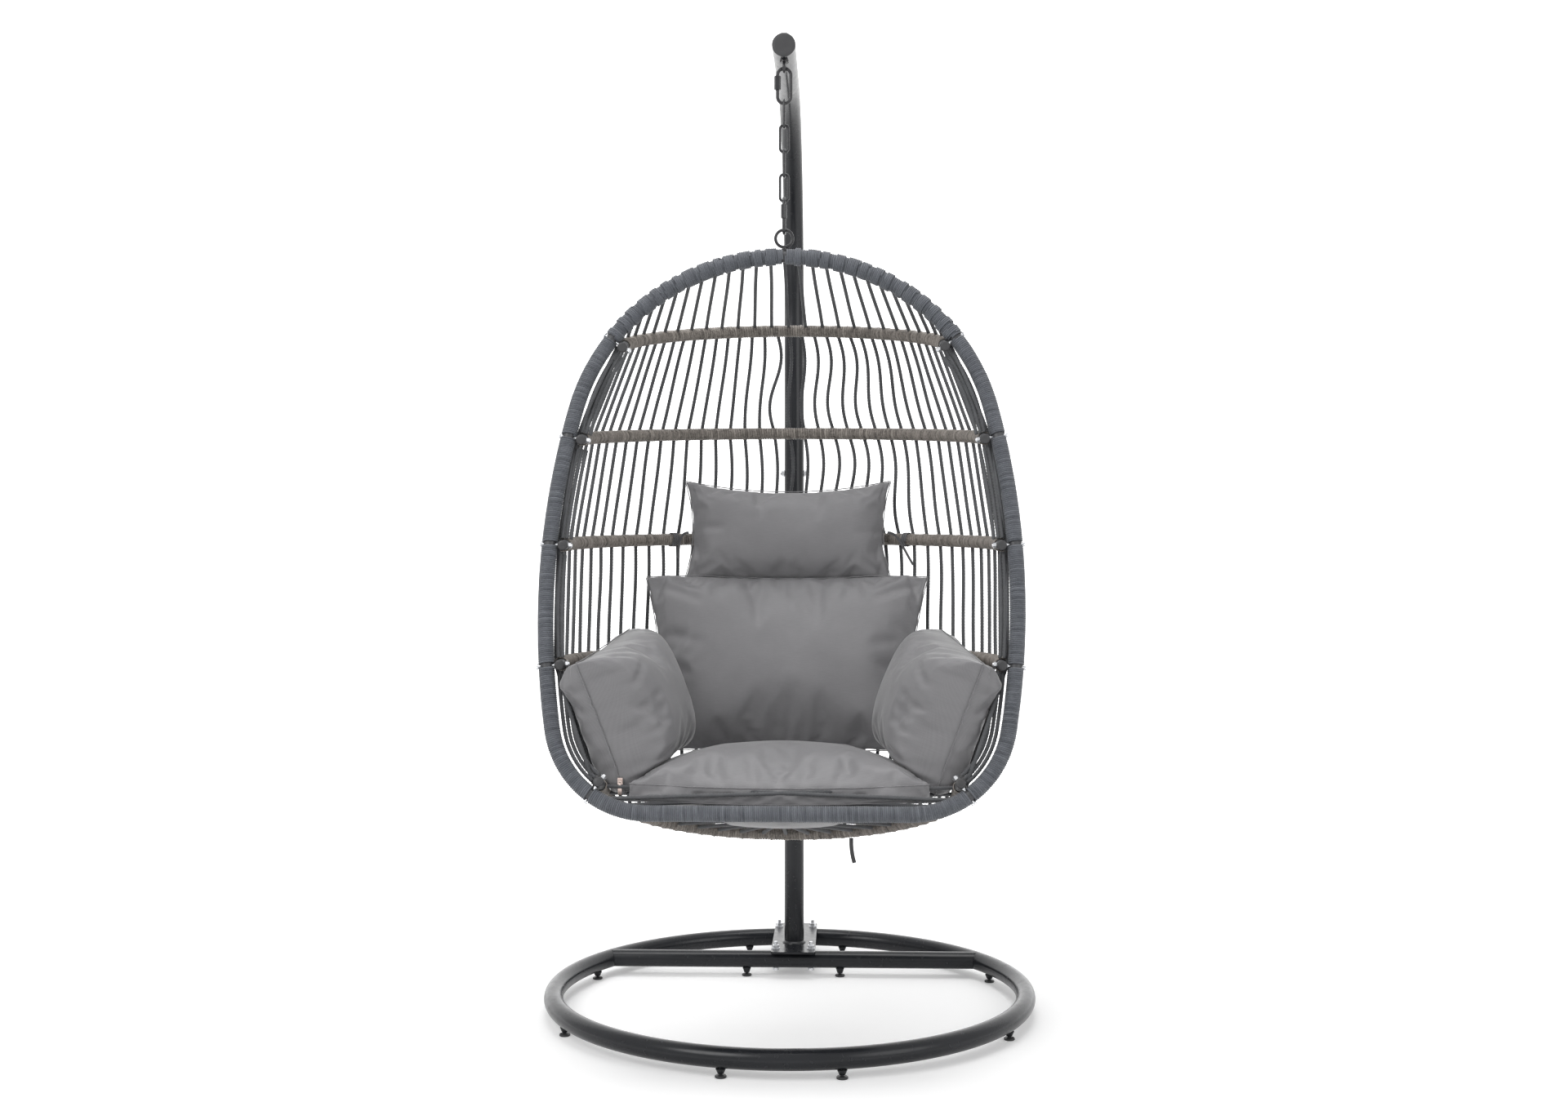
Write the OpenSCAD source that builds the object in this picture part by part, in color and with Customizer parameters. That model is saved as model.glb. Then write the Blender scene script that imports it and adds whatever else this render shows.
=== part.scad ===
// Hanging egg chair: a tube stand on a round base, a short chain, and a rope basket with cushions.
// Millimetres, +Z up, +Y to the back. The origin is the centre of the footprint, on the floor.

/* [Base] */
// Radius of the base ring, to the middle of its tube
ring_r = 495; // [420:1:560]
// Outer diameter of the base ring tube
base_tube_d = 40; // [36:1:46]
// Outer diameter of the crossbar tube
crossbar_d = 38; // [30:1:38]
// Wall of the base tubes
base_wall = 1.5; // [1.2:0.1:2.5]
// Clear height under the base ring
floor_gap = 17.5; // [16:0.5:24]
// How far the crossbar lies behind the centre of the ring
crossbar_y = 266; // [220:1:290]
// Width of the base plate
plate_w = 100; // [96:1:140]
// Thickness of the base plate
plate_t = 5; // [4:0.5:8]
// How far the plate runs past the crossbar and the ring, to each side
plate_lip = 36; // [30:1:44]
// Distance between the two bolts of a pair
plate_bolt_gap = 80; // [60:1:80]

/* [Feet] */
// Angle of the feet next to the front and back of the ring
foot_near_angle = 13; // [8:1:20]
// Angle of the feet at the sides of the ring, from the front or the back
foot_side_angle = 63; // [50:1:70]
// Half distance between the two feet under the crossbar
crossbar_foot_x = 106; // [80:1:150]
// Diameter of a foot's disc
foot_disc_d = 22; // [18:1:30]
// Travel of a levelling foot
foot_travel = 8; // [4:1:8]

/* [Post] */
// Outer diameter of the post and arm
post_d = 45; // [40:1:50]
// Wall of the post and arm
post_wall = 2; // [1.5:0.1:3]
// How far the post stands behind the centre of the ring
post_y = 331; // [310:1:420]
// Height of the joint between post and arm
joint_z = 1097; // [900:1:1250]
// Height of the middle of the arm's level stretch
arm_z = 1929; // [1850:1:2050]
// From the post's middle to the arm's front end
arm_reach = 692; // [640:1:760]
// Radius of the arm's bend
bend_r = 420; // [300:1:480]

/* [Chain] */
// From the arm's front end back to the eye bolt
eye_inset = 24; // [20:1:50]
// Wire of the eye and of the hanging ring
eye_wire = 6; // [5:0.5:8]
// Clear diameter of the eye
eye_clear = 11; // [9.5:0.5:16]
// Wire of the quick links
quick_wire = 6.5; // [5:0.5:8]
// Outer width of the quick links
quick_w = 32; // [28:1:40]
// Outer length of the quick links
quick_len = 73.5; // [73:0.5:90]
// Wire of the chain links
link_wire = 5; // [4:0.5:5.5]
// Outer width of the chain links
link_w = 21; // [21:0.5:28]
// Outer length of the chain links
link_len = 57.5; // [46:0.5:70]
// Outer diameter of the hanging ring
hang_ring_d = 39; // [34:1:50]

/* [Basket] */
// Room at each side between the seat cushion and the middle of the rim's tube
side_room = 162; // [150:1:175]
// Room beside the back cushion, to the rim's outline
back_side_room = 133; // [125:1:150]
// Height of the rim above its widest level, along the leaning plane
rim_rise = 656; // [600:1:700]
// Depth of the rim below its widest level, along the leaning plane
rim_drop = 407; // [380:1:440]
// Roundness of the rim's top, as a share of half its width
rim_top_share = 0.93; // [0.85:0.01:0.96]
// Radius of the rim's bottom corners
rim_corner_r = 179; // [150:1:220]
// Lean of the rim: its bottom stands further forward
rim_lean = 15; // [10:0.5:18]
// Outer diameter of the rim with its winding
rim_wrap_d = 30; // [28:0.5:34]
// Outer diameter of the rim's steel tube
rim_tube_d = 22; // [19:0.5:24]
// Outer diameter of the ribs with their winding
rib_wrap_d = 24; // [22:0.5:28]
// Outer diameter of the ribs' steel tubes
rib_tube_d = 19; // [16:0.5:20]
// Wall of the basket's tubes
basket_wall = 1.2; // [1:0.1:2]
// Thickness of the ropes
rope_d = 6.5; // [5:0.5:8]

/* [Cushions] */
// Width of the seat cushion
seat_w = 532; // [480:1:600]
// Thickness of the seat cushion
seat_t = 152; // [130:1:156]
// Thickness of the back cushion
back_t = 120; // [90:1:130]
// Thickness of the arm cushions
arm_t = 174; // [140:1:176]
// Thickness of the head cushion
head_t = 104; // [80:1:115]

// Width of the back cushion
back_w = 590; // [520:1:600]
// Width of the head cushion
head_w = 430; // [360:1:440]

/* [Hidden] */
$fn = 48;

// lengths that two shapes of one piece share are kept to a tenth
function tenth(x) = round(10 * x) / 10;

// clearances
gap = 0.3;
seam = 0.05;
fit = 0.06;
hole_room = 0.2;
weld_room = 0.2;

// base
base_z = floor_gap + base_tube_d / 2;
crossbar_z = base_z + (base_tube_d - crossbar_d) / 2;
crossbar_end = sqrt(pow(ring_r, 2) - pow(crossbar_y, 2));
spigot_len = 58;
plate_z = base_z + base_tube_d / 2 + 0.1;
plate_top = plate_z + plate_t;
plate_front = crossbar_y - plate_lip;
plate_back = ring_r + plate_lip;
plate_bolt_x = plate_bolt_gap / 2;
ring_bolt_y = sqrt(pow(ring_r, 2) - pow(plate_bolt_x, 2));
bolt_d = 8;
hex_af = 13;
hex_h = 5.3;
nut_h = 6.5;
washer_t = 1.6;
thread_end = 8;

// feet, from the front left round to the crossbar pair
near_x = ring_r * sin(foot_near_angle);
near_y = ring_r * cos(foot_near_angle);
side_x = ring_r * sin(foot_side_angle);
side_y = ring_r * cos(foot_side_angle);
ring_feet = [
    [-near_x, -near_y], [near_x, -near_y], [-side_x, -side_y], [side_x, -side_y],
    [-side_x, side_y], [side_x, side_y], [-near_x, near_y], [near_x, near_y]
];
bar_feet = [[-crossbar_foot_x, crossbar_y], [crossbar_foot_x, crossbar_y]];
feet = concat(ring_feet, bar_feet);
foot_stem_d = 6;
boss_z = 8;
boss_plug_d = 13.6;
boss_hole_d = 14;

// post and arm
post_in_d = post_d - 2 * post_wall;
spigot_d = post_in_d - 2 * weld_room;
post_spigot = 100;
post_bolt_z = joint_z + post_spigot / 2;
bend_z = arm_z - bend_r;
hang_y = post_y - arm_reach + eye_inset;

// chain, from the arm downwards; each height is the middle of a wire
collar_t = 4;
eye_nut_h = 5.5;
eye_r = (eye_clear + eye_wire) / 2;
eye_z = arm_z - post_d / 2 - gap - collar_t - eye_clear / 2 - eye_wire + 2;
quick_r = (quick_w - quick_wire) / 2;
quick_span = quick_len - quick_wire;
link_r = (link_w - link_wire) / 2;
link_span = link_len - link_wire;
link_step = link_wire + gap - link_span;
top_quick_z = eye_z - eye_clear / 2 + quick_wire / 2 + gap;
link_1_z = top_quick_z - quick_span + (quick_wire + link_wire) / 2 + gap;
link_2_z = link_1_z + link_step;
link_3_z = link_2_z + link_step;
link_4_z = link_3_z + link_step;
low_quick_z = link_4_z - link_span + (quick_wire + link_wire) / 2 + gap;
hang_ring_r = (hang_ring_d - eye_wire) / 2;
hang_top_z = low_quick_z - quick_span + (quick_wire + eye_wire) / 2 + gap;
hang_ring_z = hang_top_z - hang_ring_r;
sleeve_len = 26;
sleeve_mid = 6;
sleeve_travel = 12;
sleeve_af = 11;

// rim, in its own leaning plane: x sideways, z up from the widest level
rim_w = max(seat_w + 2 * side_room, back_w + 2 * back_side_room);
rim_hw = rim_w / 2;
rim_top_r = rim_top_share * rim_hw;
rim_top_z = rim_rise - rim_top_r;
rim_side_r = (pow(rim_top_z, 2) + pow(rim_hw, 2) - pow(rim_top_r, 2)) / (2 * (rim_hw - rim_top_r));
rim_side_x = rim_hw - rim_side_r;
rim_up_angle = atan2(rim_top_z, -rim_side_x);
rim_low_angle = asin((rim_drop - rim_corner_r) / (rim_side_r - rim_corner_r));
rim_corner_x = tenth(rim_side_x + (rim_side_r - rim_corner_r) * cos(rim_low_angle));
rim_corner_z = rim_corner_r - rim_drop;
rim_wrap_r = rim_wrap_d / 2;
rim_peak_z = hang_ring_z - hang_ring_d / 2 - gap - rim_wrap_r;
rim_y = hang_y - rim_rise * sin(rim_lean);
rim_z = rim_peak_z - rim_rise * cos(rim_lean);

// ribs: place down from the rim's top, straight leg behind the rim, tilt of the plane
rib_down = [169, 364, 572, 799, 1030];
rib_legs = [25, 44.9, 69.4, 73.7, 81.3];
rib_tilt = [12.5, 5.5, 2, 0, -22];
rib_wrap_r = rib_wrap_d / 2;
rib_gap = 0.6;
rib_offset = rim_wrap_r + rib_tube_d / 2 + rib_gap;
rib_nose = 10;
rib_bare = [20, 16, 16, 14, 16];
rib_bolt_d = 6;
rib_nut_af = 10;
rib_nut_h = 5;

// the footprint's middle, so that the whole chair is centred on the origin
front_reach = hang_y - (rim_rise + rim_drop) * sin(rim_lean) - rim_wrap_r;
stand_y = -(front_reach + plate_back) / 2;

// cushions: how far their sides draw in, their sizes, leans and bends
welt = 4;
seat_box = 28;
draw_in = 0.05;
seat_inset = 12;
seat_sink = 43;
seat_wedge = 0.55;
seat_dome = 32;
seat_share = 0.638;
back_room = 30.7;
back_drop = 34;
arm_level = 0.36;
arm_room = 11.6;
arm_inset = 109.2;
arm_drop = 94;
head_room = 7.6;
head_rise = 12.4;
seat_tilt = -5;
seat_depth = 352;
seat_back_w = 374;
back_lean = 18;
back_rise = 20;
back_h = 349;
arm_turn = 13;
arm_lean = 18;
arm_dip = 9;
arm_share = 0.71;
arm_len = 325;
arm_h = 252;
arm_bend = 700;
arm_taper = 30;
head_lean = 6;
head_h = 205;
head_bend = 700;
seat_bend = 4000;
back_bend = 600;
back_taper = 80;

// tie tapes of the head cushion and the loose strap: points of their routes
tape_d = 5;
left_tape = [
    [-203.7, -118, 1004], [-211, -111, 1003], [-218, -105, 998], [-223, -102, 988], [-225, -102, 976],
    [-226, -103, 964], [-226, -105, 952]
];
right_tape = [
    [203.7, -118, 1004], [211, -113, 1003], [220, -109, 998], [228, -108, 988], [235, -109, 976],
    [242, -112, 963], [249, -116, 950], [256, -120, 938]
];
strap = [[129, -258, 403], [129, -259, 390], [130, -259, 378], [132, -259, 366], [135, -259, 354]];

// rope counts
back_rope_n = 41;
hood_rope_n = 29;
seat_rope_n = 25;
rope_min = 14;

// ropes pass on the outer side of the ribs, this far from their middle
rope_out = rib_wrap_r - 1;

// spare length for the slant of a rope that passes over a rib, and of one that runs straight at a tube
over_room = 1.8;
butt_room = rope_d / 2 + 1;

steel = "#3a3b3d";
zinc = "#b9bcc0";
rope_grey = "#4a4c50";
wrap_grey = "#585d66";
wicker = "#6a625c";
cloth = "#78777a";

// vector helpers
function unit(v) = v / norm(v);
function turn_x(p, a) = [p.x, p.y * cos(a) - p.z * sin(a), p.y * sin(a) + p.z * cos(a)];

// rim helpers: the arc at a level s of the rim plane as [centre x, centre z, radius, angle]
function rim_arc(s) =
    s > rim_top_z + rim_top_r * sin(rim_up_angle)
        ? [0, rim_top_z, rim_top_r, asin((s - rim_top_z) / rim_top_r)]
        : s > -rim_side_r * sin(rim_low_angle)
            ? [rim_side_x, 0, rim_side_r, asin(s / rim_side_r)]
            : [rim_corner_x, rim_corner_z, rim_corner_r, asin((s - rim_corner_z) / rim_corner_r)];
function rim_to_world(p) = turn_x(p, -rim_lean) + [0, rim_y, rim_z];
function arc_point(c, a, inward) = [c[0] + (c[2] - inward) * cos(a), 0, c[1] + (c[2] - inward) * sin(a)];

// rib helpers, i from 0: the right-hand end at the rim, and a point at fraction f from left to right
function rib_arc(i) = rim_arc(rim_rise - rib_down[i]);
// how far a rib's tube is out of square with its bolts, and the room that it needs beside the rim for it
function rib_slope(i) = asin(abs(sin(rib_arc(i)[3]) * sin(rim_lean + rib_tilt[i])));
function rib_inset(i) = rib_offset / cos(rib_slope(i));
function rib_end(i) = arc_point(rib_arc(i), rib_arc(i)[3], rib_inset(i));
function rib_hw(i) = tenth(rib_end(i).x);
function rib_leg(i) = rib_legs[i];
function rib_base(i) = rim_to_world([0, 0, rib_end(i).z]);
function rib_run(i) = 2 * rib_leg(i) + PI * rib_hw(i);
function rib_flat(i, d) =
    d < rib_leg(i) ? [-rib_hw(i), d, 0]
    : d > rib_run(i) - rib_leg(i) ? [rib_hw(i), rib_run(i) - d, 0]
    : let (a = (d - rib_leg(i)) / rib_hw(i) * 180 / PI)
        [-rib_hw(i) * cos(a), rib_leg(i) + rib_hw(i) * sin(a), 0];
function rib_point(i, f) = rib_base(i) + turn_x(rib_flat(i, f * rib_run(i)), rib_tilt[i]);
// how deep the nuts of a rib's bolts sit
function rib_nut_seat(i) =
    rib_inset(i) + rib_tube_d / 2 / cos(rib_slope(i)) + rib_nut_af / 2 / cos(30) * tan(rib_slope(i)) + 0.1;
function rib_along(i, f) = unit(rib_point(i, f + 0.002) - rib_point(i, f - 0.002));

// rim stretches that carry ropes, at fraction f from left to right
function hood_point(f) =
    let (a0 = rib_arc(0)[3], a = 180 - a0 - f * (180 - 2 * a0))
        rim_to_world([rim_top_r * cos(a), 0, rim_top_z + rim_top_r * sin(a)]);
low_start = rib_arc(4)[3];
low_arc = (90 + low_start) * PI / 180 * rim_corner_r;
low_run = 2 * low_arc + 2 * rim_corner_x;
function low_flat(d) =
    d < low_arc
        ? let (a = 180 - low_start + d / rim_corner_r * 180 / PI)
            [-rim_corner_x + rim_corner_r * cos(a), 0, rim_corner_z + rim_corner_r * sin(a)]
    : d > low_run - low_arc
        ? let (a = low_start - (low_run - d) / rim_corner_r * 180 / PI)
            [rim_corner_x + rim_corner_r * cos(a), 0, rim_corner_z + rim_corner_r * sin(a)]
    : [d - low_arc - rim_corner_x, 0, -rim_drop];
function low_point(f) = rim_to_world(low_flat(f * low_run));
function hood_along(f) = unit(hood_point(f + 0.002) - hood_point(f - 0.002));
function low_along(f) = unit(low_point(f + 0.002) - low_point(f - 0.002));

// how far a rope's flat end stays back from its seat on a round piece, given as
// [point of the axis, direction, radius, step from the axis to the rope, room for a slant]
function rope_trim(dir, seat) =
    let (
        skew = dir * seat[1],
        square = norm(cross(dir, seat[1])),
        ahead = (dir - skew * seat[1]) / square,
        lead = seat[3] * ahead,
        beside = max(0, norm(seat[3] - lead * ahead) - rope_d / 2)
    )
    (sqrt(pow(seat[2] + gap, 2) - pow(beside, 2)) - lead + seat[4] * abs(skew)) / square;

module on_stand() {
    translate([0, stand_y, 0]) children();
}

module tube_face(d, wall) {
    difference() {
        circle(d = d);
        circle(d = d - 2 * wall);
    }
}

// a bent tube in the XZ plane, from angle a0 through sweep
module tube_arc(x, z, r, a0, sweep, d, wall) {
    translate([x, 0, z]) rotate([90, 0, 0]) rotate([0, 0, a0])
        rotate_extrude(angle = sweep, $fn = 96) translate([r, 0]) tube_face(d, wall);
}

// a tube along +X from x0
module tube_x(x0, z, len, d, wall) {
    translate([x0, 0, z]) rotate([0, 90, 0]) linear_extrude(len) tube_face(d, wall);
}

module rod(a, b, d) {
    v = b - a;
    translate(a) rotate([0, acos(v.z / norm(v)), atan2(v.y, v.x)]) cylinder(h = norm(v), d = d);
}

module hex(af, h) {
    cylinder(h = h, d = af / cos(30), $fn = 6);
}

module hex_nut(af, h, bore) {
    difference() {
        hex(af, h);
        translate([0, 0, -1]) cylinder(h = h + 2, d = bore);
    }
}

// base
module base_tube_ring(d, wall) {
    rotate_extrude($fn = 128) translate([ring_r, 0]) tube_face(d, wall);
}

module boss_holes(spots, bottom) {
    for (p = spots)
        translate([p.x, p.y, bottom - 6]) cylinder(h = 16, d = boss_hole_d);
}

module bolt_holes(y, z) {
    for (s = [-1, 1])
        translate([s * plate_bolt_x, y, z - 60]) cylinder(h = 120, d = bolt_d + 2 * hole_room);
}

module base_ring() {
    color(steel) on_stand() difference() {
        translate([0, 0, base_z]) base_tube_ring(base_tube_d, base_wall);
        boss_holes(ring_feet, floor_gap);
        bolt_holes(ring_bolt_y, base_z);
    }
}

module ring_cope() {
    translate([0, 0, base_z]) rotate_extrude($fn = 128) translate([ring_r, 0])
        circle(d = base_tube_d + 2 * weld_room);
}

// outline of a half of the crossbar along its axis; the left one ends in a spigot
module crossbar_half(with_spigot) {
    r = crossbar_d / 2;
    r_in = r - base_wall;
    s_out = r_in - weld_room;
    s_in = s_out - base_wall;
    plain = [[r_in, 0.1], [r, 0.1], [r, crossbar_end], [r_in, crossbar_end]];
    spigot = [
        [s_in, -spigot_len], [s_out, -spigot_len], [s_out, 0.1], [r, 0.1], [r, crossbar_end],
        [r_in, crossbar_end], [r_in, 5], [s_in, 5]
    ];
    difference() {
        translate([0, crossbar_y, crossbar_z]) rotate([0, 90, 0])
            rotate_extrude() polygon(with_spigot ? spigot : plain);
        ring_cope();
        boss_holes([[crossbar_foot_x, crossbar_y]], crossbar_z - crossbar_d / 2);
        bolt_holes(crossbar_y, crossbar_z);
    }
}

module crossbar_left() {
    color(steel) on_stand() mirror([1, 0, 0]) crossbar_half(true);
}

module crossbar_right() {
    color(steel) on_stand() crossbar_half(false);
}

module plate_outline() {
    c = 8;
    depth = plate_back - plate_front;
    translate([-plate_w / 2 + c, plate_front]) square([plate_w - 2 * c, depth]);
    translate([-plate_w / 2, plate_front + c]) square([plate_w, depth - 2 * c]);
    for (x = [-1, 1], y = [plate_front + c, plate_back - c])
        translate([x * (plate_w / 2 - c), y]) circle(r = c);
}

module base_plate() {
    color(steel) on_stand() difference() {
        translate([0, 0, plate_z]) linear_extrude(plate_t) plate_outline();
        bolt_holes(crossbar_y, plate_z);
        bolt_holes(ring_bolt_y, plate_z);
    }
}

// the four bolts as [x, y, underside of the tube]
bolt_spots = [
    for (s = [-1, 1], b = [[crossbar_y, crossbar_z - crossbar_d / 2], [ring_bolt_y, floor_gap]])
        [s * plate_bolt_x, b[0], b[1]]
];

module plate_bolts() {
    top = plate_top + washer_t + nut_h + thread_end;
    color(zinc) on_stand() for (p = bolt_spots) translate([p.x, p.y, p.z - 0.1]) {
        translate([0, 0, -hex_h]) hex(hex_af, hex_h);
        cylinder(h = top - p.z, d = bolt_d);
    }
}

module plate_washers() {
    color(zinc) on_stand() for (p = bolt_spots) translate([p.x, p.y, plate_top]) difference() {
        cylinder(h = washer_t, d = 18);
        translate([0, 0, -1]) cylinder(h = 4, d = bolt_d + 2 * hole_room);
    }
}

module plate_nuts() {
    color(zinc) on_stand() for (p = bolt_spots) translate([p.x, p.y, plate_top + washer_t])
        hex_nut(hex_af, nut_h, bolt_d + 2 * fit);
}

module lower_post() {
    r = post_d / 2;
    r_in = post_in_d / 2;
    s = spigot_d / 2;
    s_in = s - post_wall;
    bead = 5;
    color(steel) on_stand() difference() {
        translate([0, post_y, 0]) rotate_extrude() polygon([
            [r_in, plate_top], [r + bead, plate_top], [r + bead - 1, plate_top + 2], [r, plate_top + bead],
            [r, joint_z], [s, joint_z], [s, joint_z + post_spigot], [s_in, joint_z + post_spigot],
            [s_in, joint_z - 8], [r_in, joint_z - 8]
        ]);
        post_bolt_hole();
    }
}

module post_bolt_hole() {
    translate([-100, post_y, post_bolt_z]) rotate([0, 90, 0])
        cylinder(h = 200, d = bolt_d + 2 * hole_room);
}

// the arm: straight up, a quarter bend forward, and a level stretch to the front end
module upper_arm() {
    color(steel) on_stand() difference() {
        union() {
            translate([0, post_y, joint_z + 0.1]) linear_extrude(bend_z - joint_z - 0.1)
                tube_face(post_d, post_wall);
            translate([0, post_y - bend_r, bend_z]) rotate([0, 0, 90])
                tube_arc(0, 0, bend_r, 0, 90, post_d, post_wall);
            translate([0, post_y - arm_reach, arm_z]) rotate([-90, 0, 0])
                linear_extrude(arm_reach - bend_r) tube_face(post_d, post_wall);
        }
        post_bolt_hole();
        translate([0, hang_y, arm_z - 40]) cylinder(h = 80, d = 10 + 2 * hole_room);
    }
}

module post_bolt() {
    reach = post_d / 2 + 0.1;
    color(zinc) on_stand() translate([0, post_y, post_bolt_z]) rotate([0, 90, 0]) {
        translate([0, 0, reach]) hex(hex_af, hex_h);
        translate([0, 0, -reach - nut_h - 3]) cylinder(h = 2 * reach + nut_h + 3.1, d = bolt_d);
    }
}

module post_nut() {
    reach = post_d / 2 + 0.1;
    color(zinc) on_stand() translate([-reach, post_y, post_bolt_z]) rotate([0, -90, 0])
        hex_nut(hex_af, nut_h, bolt_d + 2 * fit);
}

module arm_cap() {
    r = post_d / 2;
    plug_r = post_in_d / 2 - weld_room;
    color("#2b2c2e") on_stand() translate([0, post_y - arm_reach - 0.1, arm_z]) rotate([90, 0, 0])
        rotate_extrude() polygon([
            [0, 3.5], [0, -12], [plug_r, -12], [plug_r, 0], [r, 0], [r, 1.5], [r - 1.5, 3], [r - 5, 3.5]
        ]);
}

module eye_bolt() {
    collar_z = arm_z - post_d / 2 - gap - collar_t;
    color(steel) on_stand() translate([0, hang_y, 0]) {
        translate([0, 0, eye_z]) rotate([0, 90, 0]) rotate_extrude() translate([eye_r, 0])
            circle(d = eye_wire);
        translate([0, 0, collar_z]) cylinder(h = collar_t, d = 18);
        translate([0, 0, collar_z + collar_t - 0.5]) cylinder(h = post_d + eye_nut_h + 2, d = 10);
    }
}

module eye_nut() {
    color(zinc) on_stand() translate([0, hang_y, arm_z + post_d / 2 + 0.1])
        hex_nut(17, eye_nut_h, 10 + 2 * fit);
}

// feet
module boss(bottom) {
    difference() {
        rotate_extrude() polygon([
            [0, boss_z], [6, boss_z], [9.5, bottom - 1.5], [9.5, bottom - 0.2],
            [boss_plug_d / 2, bottom - 0.2], [boss_plug_d / 2, bottom + 9], [0, bottom + 9]
        ]);
        translate([0, 0, -1]) cylinder(h = 60, d = foot_stem_d + 2 * fit);
    }
}

module foot_bosses() {
    color(steel) on_stand() {
        for (p = ring_feet) translate(p) boss(floor_gap);
        for (p = bar_feet) translate(p) boss(crossbar_z - crossbar_d / 2);
    }
}

module levelling_foot(k) {
    r = foot_disc_d / 2;
    color("#1e1f20") on_stand() translate(feet[k - 1]) rotate_extrude() polygon([
        [0, 0], [r - 1, 0], [r, 1], [r, 3.5], [r - 1, 4.5], [5, 5.5], [foot_stem_d / 2, 6],
        [foot_stem_d / 2, boss_z + foot_travel + 8], [0, boss_z + foot_travel + 8]
    ]);
}

// chain pieces: an oval loop of wire in the XZ plane whose top wire lies at z = 0
module oval_loop(wire, r, span) {
    leg = span - 2 * r;
    translate([0, 0, -r]) rotate([90, 0, 0]) rotate_extrude(angle = 180) translate([r, 0]) circle(d = wire);
    translate([0, 0, -r - leg]) rotate([-90, 0, 0]) rotate_extrude(angle = 180) translate([r, 0])
        circle(d = wire);
    for (s = [-1, 1])
        translate([s * r, 0, -r - leg]) cylinder(h = leg, d = wire);
}

// a quick link: an oval loop whose left leg is cut, and a hexagonal sleeve over the cut
module quick_link() {
    cut = 8;
    difference() {
        oval_loop(quick_wire, quick_r, quick_span);
        translate([-quick_r - 6, -6, -quick_span / 2 + sleeve_mid]) cube([12, 12, cut]);
    }
}

module quick_sleeve() {
    translate([-quick_r, 0, -quick_span / 2 + sleeve_mid - sleeve_len / 2])
        hex_nut(sleeve_af, sleeve_len, quick_wire + 2 * fit);
}

module at_chain(z, quarter) {
    on_stand() translate([0, hang_y, z]) rotate([0, 0, quarter ? 90 : 0]) children();
}

module chain_loop() {
    oval_loop(link_wire, link_r, link_span);
}

module top_quick_link() {
    color(steel) at_chain(top_quick_z, false) quick_link();
}

module top_link_sleeve() {
    color(steel) at_chain(top_quick_z, false) quick_sleeve();
}

module chain_link_1() {
    color(steel) at_chain(link_1_z, true) chain_loop();
}

module chain_link_2() {
    color(steel) at_chain(link_2_z, false) chain_loop();
}

module chain_link_3() {
    color(steel) at_chain(link_3_z, true) chain_loop();
}

module chain_link_4() {
    color(steel) at_chain(link_4_z, false) chain_loop();
}

module bottom_quick_link() {
    color(steel) at_chain(low_quick_z, true) quick_link();
}

module bottom_link_sleeve() {
    color(steel) at_chain(low_quick_z, true) quick_sleeve();
}

module hanging_ring() {
    stem = gap + rim_wrap_r - rim_tube_d / 2;
    color(steel) at_chain(hang_ring_z, false) {
        rotate([90, 0, 0]) rotate_extrude() translate([hang_ring_r, 0]) circle(d = eye_wire);
        translate([0, 0, -hang_ring_d / 2 - stem + 0.2]) cylinder(h = stem + 2, d = 8);
    }
}

// basket
module on_rim() {
    on_stand() translate([0, rim_y, rim_z]) rotate([-rim_lean, 0, 0]) children();
}

// the rim is four bent lengths end to end: a top hoop, two sides and a bottom with its corners
module rim_loop(d, wall) {
    top_seam = seam / rim_top_r * 180 / PI;
    side_seam = seam / rim_side_r * 180 / PI;
    tube_arc(0, rim_top_z, rim_top_r, rim_up_angle + top_seam, 180 - 2 * (rim_up_angle + top_seam), d, wall);
    for (m = [0, 1]) mirror([m, 0, 0]) {
        tube_arc(rim_side_x, 0, rim_side_r, side_seam - rim_low_angle,
            rim_up_angle + rim_low_angle - 2 * side_seam, d, wall);
        tube_arc(rim_corner_x, rim_corner_z, rim_corner_r, -90, 90 - rim_low_angle, d, wall);
    }
    tube_x(-rim_corner_x, -rim_drop, 2 * rim_corner_x, d, wall);
}

// puts children on the bolt axis of each rib end, with +Z pointing out of the rim
module at_rib_bolts(ribs) {
    for (i = ribs, m = [0, 1]) {
        c = rib_arc(i);
        p = arc_point(c, c[3], 0);
        $rib = i;
        on_rim() mirror([m, 0, 0]) translate(p) rotate([0, 90 - c[3], 0]) children();
    }
}

module rib_bolt_holes(ribs) {
    at_rib_bolts(ribs) translate([0, 0, -60]) cylinder(h = 120, d = rib_bolt_d + 2 * hole_room);
}

module rim_tube() {
    color(steel) difference() {
        on_rim() rim_loop(rim_tube_d, basket_wall);
        rib_bolt_holes([0, 1, 2, 3, 4]);
    }
}

module rim_wrap() {
    color(wrap_grey) difference() {
        on_rim() rim_loop(rim_wrap_d, (rim_wrap_d - rim_tube_d) / 2 - 0.1);
        rib_bolt_holes([0, 1, 2, 3, 4]);
        at_chain(hang_ring_z - hang_ring_d / 2 - 15, false) cylinder(h = 20, d = 9);
    }
}

module on_rib(i) {
    on_stand() translate(rib_base(i)) rotate([rib_tilt[i], 0, 0]) children();
}

// a rib: two straight legs that start at y0, and a half circle at the back
module rib_loop(i, y0, d, wall) {
    on_rib(i) {
        for (s = [-1, 1])
            translate([s * rib_hw(i), y0, 0]) rotate([-90, 0, 0]) linear_extrude(rib_leg(i) - y0)
                tube_face(d, wall);
        translate([0, rib_leg(i), 0]) rotate_extrude(angle = 180, $fn = 96) translate([rib_hw(i), 0])
            tube_face(d, wall);
    }
}

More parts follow.
